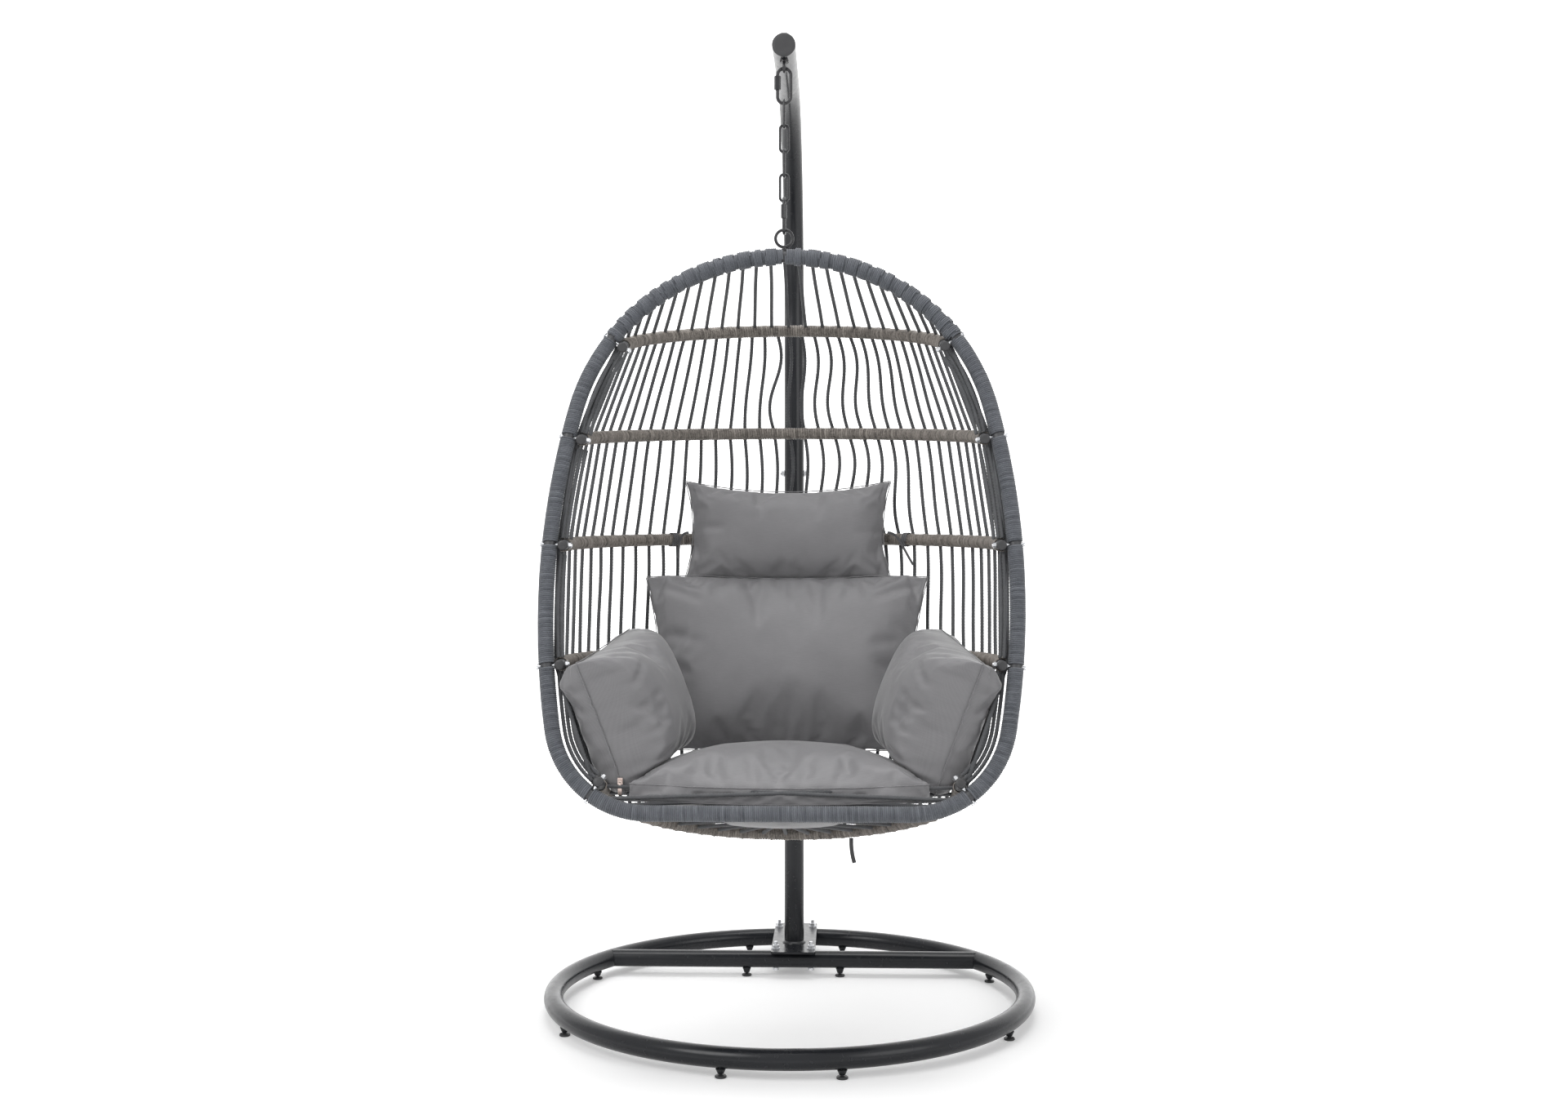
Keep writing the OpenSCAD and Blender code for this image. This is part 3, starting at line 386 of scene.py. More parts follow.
class Rib:
    def __init__(self, i):
        tilt = math.radians(basket["ribTilt"][i])
        cx, cz, r, a = rimArc(basket["rise"] - basket["ribDown"][i])
        slope = math.asin(abs(math.sin(a) * math.sin(lean + tilt)))
        inset = (basket["wrapRadius"] + basket["ribTubeRadius"] + basket["ribGap"]) / math.cos(slope)
        self.half = round(cx + (r - inset) * math.cos(a), 4)
        self.base = onRim(0, cz + (r - inset) * math.sin(a))
        self.leg = basket["ribLegs"][i]
        self.turn = Matrix.Rotation(tilt, 3, "X")
        self.run = 2 * self.leg + math.pi * self.half

    def at(self, f):
        d = f * self.run
        if d < self.leg:
            flat = (-self.half, d, 0)
        elif d > self.run - self.leg:
            flat = (self.half, self.run - d, 0)
        else:
            a = (d - self.leg) / self.half
            flat = (-self.half * math.cos(a), self.leg + self.half * math.sin(a), 0)
        return self.base + self.turn @ Vector(flat)

    def out(self, f):
        step = basket["tangentStep"]
        along = self.at(min(f + step, 1)) - self.at(max(f - step, 0))
        return (self.turn @ Vector((0, 0, 1))).cross(along).normalized()

    def outer(self, f):
        # where a rope crosses the rib on its outer side
        return self.at(f) + basket["ropeOut"] * self.out(f)


ribs = [Rib(i) for i in range(5)]
print("basket laid out: rim at y %.4f z %.4f" % (rimY, rimZ))


# geometry nodes: one tree for every winding, one for every rope
def newTree(name, sizes):
    tree = bpy.data.node_groups.new(name, "GeometryNodeTree")
    tree.interface.new_socket("Geometry", in_out="INPUT", socket_type="NodeSocketGeometry")
    for label, value in sizes.items():
        kind = "NodeSocketInt" if isinstance(value, int) else "NodeSocketFloat"
        tree.interface.new_socket(label, in_out="INPUT", socket_type=kind).default_value = value
    tree.interface.new_socket("Finish", in_out="INPUT", socket_type="NodeSocketMaterial")
    tree.interface.new_socket("Geometry", in_out="OUTPUT", socket_type="NodeSocketGeometry")
    return tree, add(tree, "NodeGroupInput").outputs


def endTree(tree, geometry, finish):
    smooth = add(tree, "GeometryNodeSetShadeSmooth", {"Geometry": geometry})
    real = add(tree, "GeometryNodeRealizeInstances", {"Geometry": smooth.outputs[0]})
    painted = add(tree, "GeometryNodeSetMaterial", {"Geometry": real.outputs[0], "Material": finish})
    add(tree, "NodeGroupOutput", {"Geometry": painted.outputs[0]})


def windingTree():
    # a strand wound round a line: coil radius, pitch, a flat or round strand, lumps where ropes cross
    tree, size = newTree("windingTree", {"Pitch": 0.0036, "Coil Radius": 0.0132, "Strand": 0.0018, "Flat": 1.0,
                                         "Steps": 13.0, "Sides": 5, "Wobble": 0.0003, "Lump": 0.0, "Ropes": 1.0})
    line = add(tree, "GeometryNodeMeshToCurve", {"Mesh": size["Geometry"]}).outputs[0]
    step = calc(tree, "DIVIDE", size["Pitch"], size["Steps"])
    fine = add(tree, "GeometryNodeResampleCurve", {"Curve": line, "Length": step}, mode="LENGTH").outputs[0]
    length = add(tree, "GeometryNodeSplineParameter").outputs["Length"]
    angle = calc(tree, "MULTIPLY", calc(tree, "DIVIDE", length, size["Pitch"]), math.tau)
    normal = add(tree, "GeometryNodeInputNormal").outputs[0]
    tangent = add(tree, "GeometryNodeInputTangent").outputs[0]
    across = vecCalc(tree, "CROSS_PRODUCT", tangent, normal)
    spoke = vecCalc(tree, "ADD", scaleVec(tree, normal, calc(tree, "COSINE", angle)),
                    scaleVec(tree, across, calc(tree, "SINE", angle)))
    kept = stored(tree, fine, "spoke", spoke, "FLOAT_VECTOR")
    kept = stored(tree, kept, "turn", calc(tree, "DIVIDE", length, size["Pitch"]))
    spoke = named(tree, "spoke", "FLOAT_VECTOR")
    place = calc(tree, "SUBTRACT", calc(tree, "MULTIPLY", named(tree, "share"), size["Ropes"]), 0.5)
    phase = calc(tree, "MULTIPLY", place, math.tau)
    crest = calc(tree, "POWER", calc(tree, "MULTIPLY_ADD", calc(tree, "COSINE", phase), 0.5, 0.5), 3.0)
    outward = named(tree, "outward", "FLOAT_VECTOR")
    facing = add(tree, "ShaderNodeVectorMath", {0: spoke, 1: outward}, operation="DOT_PRODUCT").outputs["Value"]
    crest = calc(tree, "MULTIPLY", crest, calc(tree, "MAXIMUM", facing, 0.0))
    noise = add(tree, "ShaderNodeTexNoise", {"Scale": 45.0, "Detail": 2.0}).outputs[0]
    wobble = calc(tree, "MULTIPLY", calc(tree, "SUBTRACT", noise, 0.5), size["Wobble"])
    reach = calc(tree, "ADD", calc(tree, "MULTIPLY_ADD", crest, size["Lump"], size["Coil Radius"]), wobble)
    push = scaleVec(tree, spoke, reach)
    wound = add(tree, "GeometryNodeSetPosition", {"Geometry": kept, "Offset": push}).outputs[0]
    turned = add(tree, "GeometryNodeSetCurveNormal", {"Curve": wound, "Normal": spoke}, mode="FREE").outputs[0]
    ring = add(tree, "GeometryNodeCurvePrimitiveCircle", {"Resolution": size["Sides"], "Radius": size["Strand"]})
    flat = add(tree, "ShaderNodeCombineXYZ", {"X": size["Flat"], "Y": 1.0, "Z": 1.0}).outputs[0]
    profile = add(tree, "GeometryNodeTransform", {"Geometry": ring.outputs[0], "Scale": flat}).outputs[0]
    feeds = {"Curve": turned, "Profile Curve": profile, "Fill Caps": True}
    strand = add(tree, "GeometryNodeCurveToMesh", feeds).outputs[0]
    endTree(tree, without(tree, strand, "spoke", "share", "outward"), size["Finish"])
    return tree


def ropeTree():
    # a laid rope along a line, pushed sideways by its own bow and sway
    tree, size = newTree("ropeTree", {"Step": 0.004, "Radius": 0.0033, "Groove": 0.0004, "Strands": 6, "Lay": 0.034})
    line = add(tree, "GeometryNodeMeshToCurve", {"Mesh": size["Geometry"]}).outputs[0]
    fine = add(tree, "GeometryNodeResampleCurve", {"Curve": line, "Length": size["Step"]}, mode="LENGTH").outputs[0]
    along = add(tree, "GeometryNodeSplineParameter").outputs
    side = named(tree, "side", "FLOAT_VECTOR")
    half = calc(tree, "SINE", calc(tree, "MULTIPLY", along["Factor"], math.pi))
    half = calc(tree, "MULTIPLY", half, named(tree, "bow"))
    whole = calc(tree, "SINE", calc(tree, "MULTIPLY", along["Factor"], math.tau))
    whole = calc(tree, "MULTIPLY", whole, named(tree, "sway"))
    push = scaleVec(tree, side, calc(tree, "ADD", half, whole))
    bent = add(tree, "GeometryNodeSetPosition", {"Geometry": fine, "Offset": push}).outputs[0]
    length = add(tree, "GeometryNodeSplineParameter").outputs["Length"]
    twist = calc(tree, "MULTIPLY", calc(tree, "DIVIDE", length, size["Lay"]), math.tau)
    turned = add(tree, "GeometryNodeSetCurveTilt", {"Curve": bent, "Tilt": twist}).outputs[0]
    inner = calc(tree, "SUBTRACT", size["Radius"], size["Groove"])
    feeds = {"Points": size["Strands"], "Outer Radius": size["Radius"], "Inner Radius": inner}
    star = add(tree, "GeometryNodeCurveStar", feeds).outputs[0]
    feeds = {"Curve": turned, "Profile Curve": star, "Fill Caps": True}
    rope = add(tree, "GeometryNodeCurveToMesh", feeds).outputs[0]
    endTree(tree, without(tree, rope, "bow", "sway", "side"), size["Finish"])
    return tree


def build(name, tree, lines, sizes, finish, extras=None):
    # lines are lists of points; the tree's result becomes a plain mesh at the origin
    points = [p for line in lines for p in line]
    edges, first = [], 0
    for line in lines:
        edges += [(first + k, first + k + 1) for k in range(len(line) - 1)]
        first += len(line)
    mesh = bpy.data.meshes.new(name + "Line")
    mesh.from_pydata(points, edges, [])
    for label, values in (extras or {}).items():
        vector = hasattr(values[0], "__len__")
        field = mesh.attributes.new(label, "FLOAT_VECTOR" if vector else "FLOAT", "POINT")
        field.data.foreach_set("vector" if vector else "value", np.array(values, np.float32).ravel())
    piece = bpy.data.objects.new(name, mesh)
    scene.collection.objects.link(piece)
    modifier = piece.modifiers.new("Build", "NODES")
    modifier.node_group = tree
    for item in tree.interface.items_tree:
        if item.in_out == "INPUT" and item.name in sizes:
            modifier[item.identifier] = sizes[item.name]
        elif item.in_out == "INPUT" and item.name == "Finish":
            modifier[item.identifier] = finish
    made = bpy.data.meshes.new_from_object(piece.evaluated_get(bpy.context.evaluated_depsgraph_get()))
    piece.modifiers.clear()
    piece.data = made
    made.name = name
    bpy.data.meshes.remove(mesh)
    made.calc_loop_triangles()
    print(name, len(made.loop_triangles), "triangles")
    return piece


def settle(piece, body, slot, *nodes):
    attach(piece, body)
    if nodes:
        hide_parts(*nodes)
    return piece


def skin(bm, rings):
    # faces between neighbouring rings of points, and one over each end
    sides = len(rings[0])
    for low, high in zip(rings, rings[1:]):
        for k in range(sides):
            j = (k + 1) % sides
            bm.faces.new((low[k], low[j], high[j], high[k]))
    bm.faces.new(rings[0])
    bm.faces.new(rings[-1][::-1])


def skinPiece(bm, meshName, name, finish):
    bmesh.ops.recalc_face_normals(bm, faces=bm.faces)
    mesh = bpy.data.meshes.new(meshName)
    bm.to_mesh(mesh)
    bm.free()
    mesh.shade_smooth()
    mesh.materials.append(finish)
    piece = bpy.data.objects.new(name, mesh)
    scene.collection.objects.link(piece)
    return piece


windings = windingTree()
ropes = ropeTree()

# tie tapes of the head cushion and the loose strap, along the construction's routes
tapes = {
    "head_tie_left": [(-203.7, -118, 1004), (-211, -111, 1003), (-218, -105, 998), (-223, -102, 988),
                      (-225, -102, 976), (-226, -103, 964), (-226, -105, 952)],
    "head_tie_right": [(203.7, -118, 1004), (211, -113, 1003), (220, -109, 998), (228, -108, 988), (235, -109, 976),
                       (242, -112, 963), (249, -116, 950), (256, -120, 938)],
    "seat_strap": [(129, -258, 403), (129, -259, 390), (130, -259, 378), (132, -259, 366), (135, -259, 354)],
}
tapeForm = {"width": 0.005, "strapWidth": 0.008, "thick": 0.0016, "steps": 8, "facing": Vector((0.2, 1, 0.1)),
            "corners": [(-1, -0.6), (-0.7, -1), (0.7, -1), (1, -0.6), (1, 0.6), (0.7, 1), (-0.7, 1), (-1, 0.6)]}


def smoothRoute(points, steps):
    # an even curve through the points
    route = []
    ends = [2 * points[0] - points[1]] + points + [2 * points[-1] - points[-2]]
    for k in range(1, len(ends) - 2):
        a, b, c, d = ends[k - 1:k + 3]
        for j in range(steps):
            t = j / steps
            route.append(0.5 * (2 * b + (c - a) * t + (2 * a - 5 * b + 4 * c - d) * t ** 2
                                + (3 * b - a - 3 * c + d) * t ** 3))
    return route + [points[-1]]


def makeTape(name):
    shift = Vector((0, ringMiddle.y, 0))
    points = [Vector(p) / 1000 + shift for p in tapes[name]]
    route = smoothRoute(points, tapeForm["steps"])
    width = tapeForm["strapWidth" if name == "seat_strap" else "width"]
    bm = bmesh.new()
    rings = []
    for k, p in enumerate(route):
        along = (route[min(k + 1, len(route) - 1)] - route[max(k - 1, 0)]).normalized()
        across = along.cross(tapeForm["facing"]).normalized()
        out = along.cross(across)
        rings.append([bm.verts.new(p + across * a * width / 2 + out * b * tapeForm["thick"] / 2)
                      for a, b in tapeForm["corners"]])
    skin(bm, rings)
    piece = skinPiece(bm, name, name + "_tape", tapeCloth)
    settle(piece, "basket", "tape_cloth", name)


for name in tapes:
    makeTape(name)

# cushions: sewn covers filled by pressure, then bent and set as in the construction
# each is set off its rib or rim by room and sink, and leans by tilt, in degrees
# creases are lines on a face: from (u, v) to (u, v), half width, depth, and the face, -1 in front
pads = {
    "seat_cushion": {
        "tilt": -95, "room": 0.012, "sink": 0.043,
        "below": 0.532, "above": 0.374, "height": 0.352, "front": 0.0970, "rear": 0.0550, "wedge": 0.55,
        "dome": 0.010,
        "bend": 4.0, "edge": 0.038, "drawIn": 0.045, "full": 0.36, "slack": 0.05, "rise": 0.0, "loft": 0.016,
        "creases": [(-0.97, -0.9, -0.62, -0.45, 0.07, 0.004, -1), (0.97, -0.9, 0.66, -0.5, 0.07, 0.004, -1),
                    (-0.6, -1.0, -0.55, -0.7, 0.05, 0.003, -1), (0.12, -1.0, 0.16, -0.76, 0.05, 0.0025, -1),
                    (0.5, -1.0, 0.46, -0.72, 0.05, 0.003, -1), (-0.25, -1.0, -0.28, -0.8, 0.04, 0.002, -1),
                    (-0.9, 0.2, -0.5, 0.35, 0.08, 0.003, -1), (0.9, 0.1, 0.55, 0.3, 0.08, 0.003, -1)]},
    "back_cushion": {
        "tilt": -18, "room": 0.0307, "sink": 0.034,
        "below": 0.510, "above": 0.590, "height": 0.349, "front": 0.060, "rear": 0.060, "wedge": 0.0, "dome": 0.0,
        "bend": 0.6, "edge": 0.0, "drawIn": 0.06, "full": 0.5, "slack": 0.05, "rise": 0.036, "loft": 0.014,
        "creases": [(0.0, 1.0, 0.2, 0.4, 0.06, 0.004, -1), (-0.3, 1.0, -0.24, 0.66, 0.05, 0.003, -1),
                    (0.42, 1.0, 0.36, 0.7, 0.05, 0.003, -1), (-0.98, 0.9, -0.62, 0.66, 0.06, 0.005, -1),
                    (0.98, 0.9, 0.62, 0.68, 0.06, 0.005, -1), (-0.75, 1.0, -0.6, 0.8, 0.05, 0.003, -1),
                    (0.78, 1.0, 0.64, 0.8, 0.05, 0.003, -1), (-0.9, 0.3, -0.6, 0.2, 0.07, 0.003, -1),
                    (0.9, 0.25, 0.62, 0.18, 0.07, 0.003, -1)]},
    "arm_cushion_left": {
        "tilt": -18, "room": 0.0116, "sink": 0.094, "behind": 0.1092, "between": 0.36, "yaw": -77, "dip": 9,
        "below": 0.295, "above": 0.325, "height": 0.252, "front": 0.1235, "rear": 0.0505, "wedge": 0.0, "dome": 0.0,
        "bend": 0.7, "edge": 0.0, "drawIn": 0.05, "full": 0.34, "slack": 0.06, "rise": 0.0, "loft": 0.035,
        "swell": 0.034,
        "creases": [(1.0, 0.35, 0.5, 0.66, 0.05, 0.008, -1), (1.0, 0.05, 0.5, 0.16, 0.05, 0.007, -1),
                    (1.0, -0.35, 0.5, -0.2, 0.05, 0.009, -1), (1.0, -0.72, 0.4, -0.6, 0.06, 0.010, -1),
                    (0.85, -1.0, 0.5, -0.74, 0.05, 0.008, -1), (0.4, -1.0, 0.26, -0.68, 0.06, 0.007, -1),
                    (0.9, 1.0, 0.55, 0.76, 0.06, 0.007, -1), (0.3, 1.0, 0.22, 0.7, 0.06, 0.006, -1),
                    (-0.3, 1.0, -0.2, 0.68, 0.06, 0.006, -1), (1.0, 0.5, 0.6, 0.75, 0.06, 0.008, 1),
                    (1.0, 0.1, 0.58, 0.28, 0.05, 0.009, 1), (1.0, -0.3, 0.55, -0.12, 0.05, 0.009, 1),
                    (1.0, -0.65, 0.6, -0.48, 0.05, 0.008, 1)]},
    "head_cushion": {
        "tilt": -6, "room": 0.0076, "sink": -0.0124,
        "below": 0.430, "above": 0.430, "height": 0.205, "front": 0.052, "rear": 0.052, "wedge": 0.0, "dome": 0.0,
        "bend": 0.7, "edge": 0.0, "drawIn": 0.08, "full": 0.5, "slack": 0.05, "rise": -0.010, "fall": 0.012,
        "loft": 0.008,
        "creases": [(-1.0, 0.02, -0.62, 0.06, 0.06, 0.006, -1), (1.0, -0.05, 0.66, -0.02, 0.06, 0.005, -1),
                    (-0.98, 0.85, -0.72, 0.5, 0.06, 0.004, -1), (0.98, 0.85, 0.74, 0.5, 0.06, 0.004, -1),
                    (-0.05, 1.0, -0.02, 0.68, 0.05, 0.004, -1), (0.35, 1.0, 0.3, 0.75, 0.05, 0.003, -1),
                    (-0.45, 1.0, -0.4, 0.7, 0.05, 0.003, -1), (-0.95, -0.85, -0.7, -0.6, 0.06, 0.004, -1),
                    (0.95, -0.85, 0.72, -0.55, 0.06, 0.004, -1)]},
}
pads["arm_cushion_right"] = dict(pads["arm_cushion_left"])
padOrder = ["seat_cushion", "arm_cushion_left", "arm_cushion_right", "back_cushion", "head_cushion"]
padRoom = {"gap": 0.002, "reach": 0.04, "tries": 8,
           "wall": 0.0055, "wallSteps": 84, "wallEnd": 0.004, "edge": 0.004, "slant": 0.5,
           "hard": ["rim_wrap", "rib_wraps", "back_ropes", "seat_ropes", "rib_nuts", "rib_bolts", "zip_slider",
                    "zip_pull", "head_tie_left", "head_tie_right"]}
padForm = {"grid": 0.0075, "leastCells": 8, "frames": 16, "start": 0.86, "proud": 0.0006, "firmness": 0.7}
clothForm = {"quality": 6, "mass": 0.25, "tension_stiffness": 15, "compression_stiffness": 15, "shear_stiffness": 5,
             "bending_stiffness": 0.25, "use_pressure": True, "uniform_pressure_force": 4.0}


def turnBy(degrees, axis="X"):
    return Matrix.Rotation(math.radians(degrees), 3, axis)


def padPlace(name):
    pad = pads[name]
    turn = turnBy(pad["tilt"])
    if name == "seat_cushion":
        shift = Vector((0, pad["height"] / 2 + pad["room"], pad["rear"] - pad["sink"]))
        return turn, onRim(0, -basket["drop"]) + shift
    if name in ("back_cushion", "head_cushion"):
        rib = ribs[3 if name == "back_cushion" else 2]
        return turn, rib.at(0.5) - Vector((0, basket["ribWrapRadius"] + pad["rear"] + pad["room"], pad["sink"]))
    side = ribs[3].half + pad["between"] * (ribs[4].half - ribs[3].half)
    spot = ribs[3].base + Vector((side - pad["rear"] - pad["room"], pad["behind"], -pad["sink"]))
    return turnBy(pad["yaw"], "Z") @ turn @ turnBy(pad["dip"], "Y"), spot



def padPoint(pad, u, v, side, start):
    half = pad["below"] / 2 + (pad["above"] - pad["below"]) * (v + 1) / 4
    x = half * u * (1 - pad["drawIn"] * abs(u) ** 3 * (1 - v * v))
    z = pad["height"] / 2 * v * (1 - pad["drawIn"] * abs(v) ** 3 * (1 - u * u))
    z += (pad["rise"] * max(v, 0) ** 3 - pad.get("fall", 0) * max(-v, 0) ** 3) * (1 - u * u)
    crown = ((1 - u ** 4) * (1 - v ** 4)) ** pad["full"]
    reach = pad["front"] - pad["dome"] if side < 0 else pad["rear"] * (1 + pad["wedge"] * v)
    top = pad["dome"] * (1 - u * u) * (1 - v * v) if side < 0 else 0
    return x, side * (pad["edge"] / 2 + (reach * start - pad["edge"] / 2) * crown + top * start), z


def ease(k, n):
    # from -1 to 1, closer together towards the ends
    return 0.5 * (2 * k / n - 1) + 0.5 * math.sin(math.pi * (k / n - 0.5))


def sewnCover(name):
    # two faces that share their border, or a band between them on a boxed cushion
    pad = pads[name]
    nx = max(padForm["leastCells"], round(max(pad["below"], pad["above"]) / padForm["grid"]))
    nz = max(padForm["leastCells"], round(pad["height"] / padForm["grid"]))
    rim = ([(i, 0) for i in range(nx)] + [(nx, j) for j in range(nz)]
           + [(i, nz) for i in range(nx, 0, -1)] + [(0, j) for j in range(nz, 0, -1)])
    bands = round(pad["edge"] / padForm["grid"])
    verts, faces, index, spots = [], [], {}, []
    for side in (-1, 1):
        for j in range(nz + 1):
            for i in range(nx + 1):
                if side == 1 and not bands and (i in (0, nx) or j in (0, nz)):
                    index[side, i, j] = index[-1, i, j]
                    continue
                u, v = ease(i, nx), ease(j, nz)
                index[side, i, j] = len(verts)
                verts.append(padPoint(pad, u, v, side, padForm["start"]))
                spots.append((u, v, side))
    for side in (-1, 1):
        for j in range(nz):
            for i in range(nx):
                quad = [index[side, i, j], index[side, i + 1, j], index[side, i + 1, j + 1], index[side, i, j + 1]]
                faces.append(quad if side == -1 else quad[::-1])
    rows = [[index[-1, i, j] for i, j in rim]]
    for k in range(1, bands):
        rows.append(list(range(len(verts), len(verts) + len(rim))))
        for i, j in rim:
            u, v = ease(i, nx), ease(j, nz)
            verts.append(padPoint(pad, u, v, 2 * k / bands - 1, 1.0))
            spots.append((u, v, 0))
    if bands:
        rows.append([index[1, i, j] for i, j in rim])
    for low, high in zip(rows, rows[1:]):
        for k in range(len(rim)):
            j = (k + 1) % len(rim)
            faces.append([low[j], low[k], high[k], high[j]])
    mesh = bpy.data.meshes.new(name)
    mesh.from_pydata(verts, [], faces)
    layer = mesh.uv_layers.new(name="panel")
    flat = [(co[0], co[2] + spot[2]) if spot[2] else (co[0] + co[2], co[1] + 3) for co, spot in zip(verts, spots)]
    for loop in mesh.loops:
        layer.data[loop.index].uv = flat[loop.vertex_index]
    seams = [rows[0]] + ([rows[-1]] if bands else [])
    return mesh, seams, np.array(spots)


def fillPad(obj, seams, slack):
    held = obj.vertex_groups.new(name="sewn")
    held.add(sorted({k for seam in seams for k in seam}), 1.0, "REPLACE")
    cloth = obj.modifiers.new("Fill", "CLOTH")
    for key, value in clothForm.items():
        setattr(cloth.settings, key, value)
    cloth.settings.vertex_group_mass = "sewn"
    cloth.settings.shrink_min = -slack
    cloth.settings.effector_weights.gravity = 0
    cloth.collision_settings.use_collision = False
    cloth.point_cache.frame_start = 1
    cloth.point_cache.frame_end = padForm["frames"]
    for k in range(1, padForm["frames"] + 1):
        scene.frame_set(k)
    filled = obj.evaluated_get(bpy.context.evaluated_depsgraph_get()).to_mesh()
    co = np.array([v.co for v in filled.vertices])
    obj.modifiers.clear()
    obj.vertex_groups.clear()
    scene.frame_set(1)
    return co


def creaseDepth(creases, spots):
    # each fold is a groove with a soft ridge to either side, fading at its ends
    depth = np.zeros(len(spots))
    for u0, v0, u1, v1, width, amount, side in creases:
        a, b = np.array((u0, v0)), np.array((u1, v1))
        along = (b - a) / ((b - a) @ (b - a))
        t = (spots[:, :2] - a) @ along
        off = np.linalg.norm(spots[:, :2] - a - np.clip(t, 0, 1)[:, None] * (b - a), axis=1) / width
        fade = np.clip(1.2 - np.abs(2 * t - 1) ** 2, 0, 1)
        depth += np.where(spots[:, 2] == side, amount * fade * (1 - 1.3 * off ** 2) * np.exp(-off ** 2), 0)
    return depth


def solidTree(name):
    mesh = cad[name].data
    mesh.calc_loop_triangles()
    return BVHTree.FromPolygons([v.co for v in mesh.vertices], [t.vertices for t in mesh.loop_triangles])


padTrees = {name: solidTree(name) for name in padRoom["hard"] + padOrder}


def ropeWall():
    # the rows of ropes as one sheet that no cover goes through
    verts, faces = [], []
    steps, end = padRoom["wallSteps"], padRoom["wallEnd"]
    for above, below in zip(ribs, ribs[1:]):
        first = len(verts)
        for k in range(steps + 1):
            f = k / steps
            inside = min(max(f, end), 1 - end)
            verts += [rib.at(f) + basket["ropeOut"] * rib.out(inside) for rib in (above, below)]
        for k in range(first, first + 2 * steps, 2):
            faces.append((k, k + 1, k + 3, k + 2))
    return BVHTree.FromPolygons(verts, faces)


wallTree = ropeWall()


def isClear(p, name):
    near, normal, _, away = wallTree.find_nearest(p)
    depth = (p - near).dot(normal)
    past = (p - near - depth * normal).length
    # in front of the sheet's edge the cover is free
    if depth < padRoom["wall"] and past < max(padRoom["edge"], padRoom["slant"] * away):
        return False
    for other, tree in padTrees.items():
        near, normal, _, away = tree.find_nearest(p, padRoom["reach"])
        if near and other != name and (away < padRoom["gap"] or (p - near).dot(normal) < 0):
            return False
    return True


def makePad(name):
    pad = pads[name]
    mesh, seams, spots = sewnCover(name)
    obj = bpy.data.objects.new(name + "_pad", mesh)
    scene.collection.objects.link(obj)
    co = fillPad(obj, seams, pad["slack"])
    print(name, "filled to %.3f x %.3f x %.3f" % tuple(co.max(0) - co.min(0)))
    for side in (-1, 1):
        part = side * co[:, 1] > 0
        most = max(side * padPoint(pad, 0, v / 10, side, 1.0)[1] for v in range(-9, 10))
        most = (pad.get("swell", 0) if side > 0 else 0) + most
        co[part, 1] *= most / (side * co[part, 1]).max()
    co[:, 1] -= spots[:, 2] * creaseDepth(pad["creases"], spots)
    a = co[:, 0] / pad["bend"]
    radius = pad["bend"] + co[:, 1]
    bent = np.stack([radius * np.sin(a), radius * np.cos(a) - pad["bend"], co[:, 2]], 1)
    turn, spot = padPlace(name)
    placed = bent @ np.array(turn).T + np.array(spot)
    if name == "arm_cushion_left":
        placed[:, 0] *= -1
        mesh.flip_normals()
    solid = solidTree(name)
    tries, pulled = padRoom["tries"], 0
    for k, p in enumerate(placed):
        near, normal, _, away = solid.find_nearest(Vector(p))
        if (Vector(p) - near).dot(normal) < padForm["proud"]:
            continue
        # out from the solid as far as the cover may stand, or as far as there is room
        inner = near + normal * padForm["proud"]
        outer = near + (Vector(p) - near) * min(1, pad["loft"] / away)
        shares = (t / tries for t in range(tries, 0, -1))
        share = next((t for t in shares if isClear(inner.lerp(outer, t), name)), 0)
        placed[k] = inner.lerp(outer, share)
        pulled += share < 1
    mesh.vertices.foreach_set("co", placed.astype(np.float32).ravel())
    mesh.calc_loop_triangles()
    padTrees[name] = BVHTree.FromPolygons([v.co for v in mesh.vertices], [t.vertices for t in mesh.loop_triangles])
    mesh.materials.append(cushionCloth)
    mesh.shade_smooth()
    smooth = obj.modifiers.new("Smooth", "SUBSURF")
    smooth.levels = smooth.render_levels = 1
    bpy.context.view_layer.update()
    obj.data = bpy.data.meshes.new_from_object(obj.evaluated_get(bpy.context.evaluated_depsgraph_get()))
    obj.modifiers.clear()
    obj.data.name = name
    settle(obj, "basket", "cushion_cloth", name)
    print(name, "set,", pulled, "of", len(placed), "points drawn in")
    return [[Vector(placed[k]) for k in seam + seam[:1]] for seam in seams]


padSeams = {name: makePad(name) for name in padOrder}

# seams: a sewn ridge along each cushion's border
seamForm = {"Step": 0.005, "Radius": 0.0011, "Groove": 0.0002, "Strands": 4, "Lay": 0.006}


def stillRope(lines):
    count = sum(len(line) for line in lines)
    return [0.0] * count, [0.0] * count, [(0.0, 0.0, 0.0)] * count


for name, lines in padSeams.items():
    still = dict(zip(("bow", "sway", "side"), stillRope(lines)))
    settle(build(name + "_seam", ropes, lines, seamForm, cushionCloth, still), "basket", "cushion_cloth")

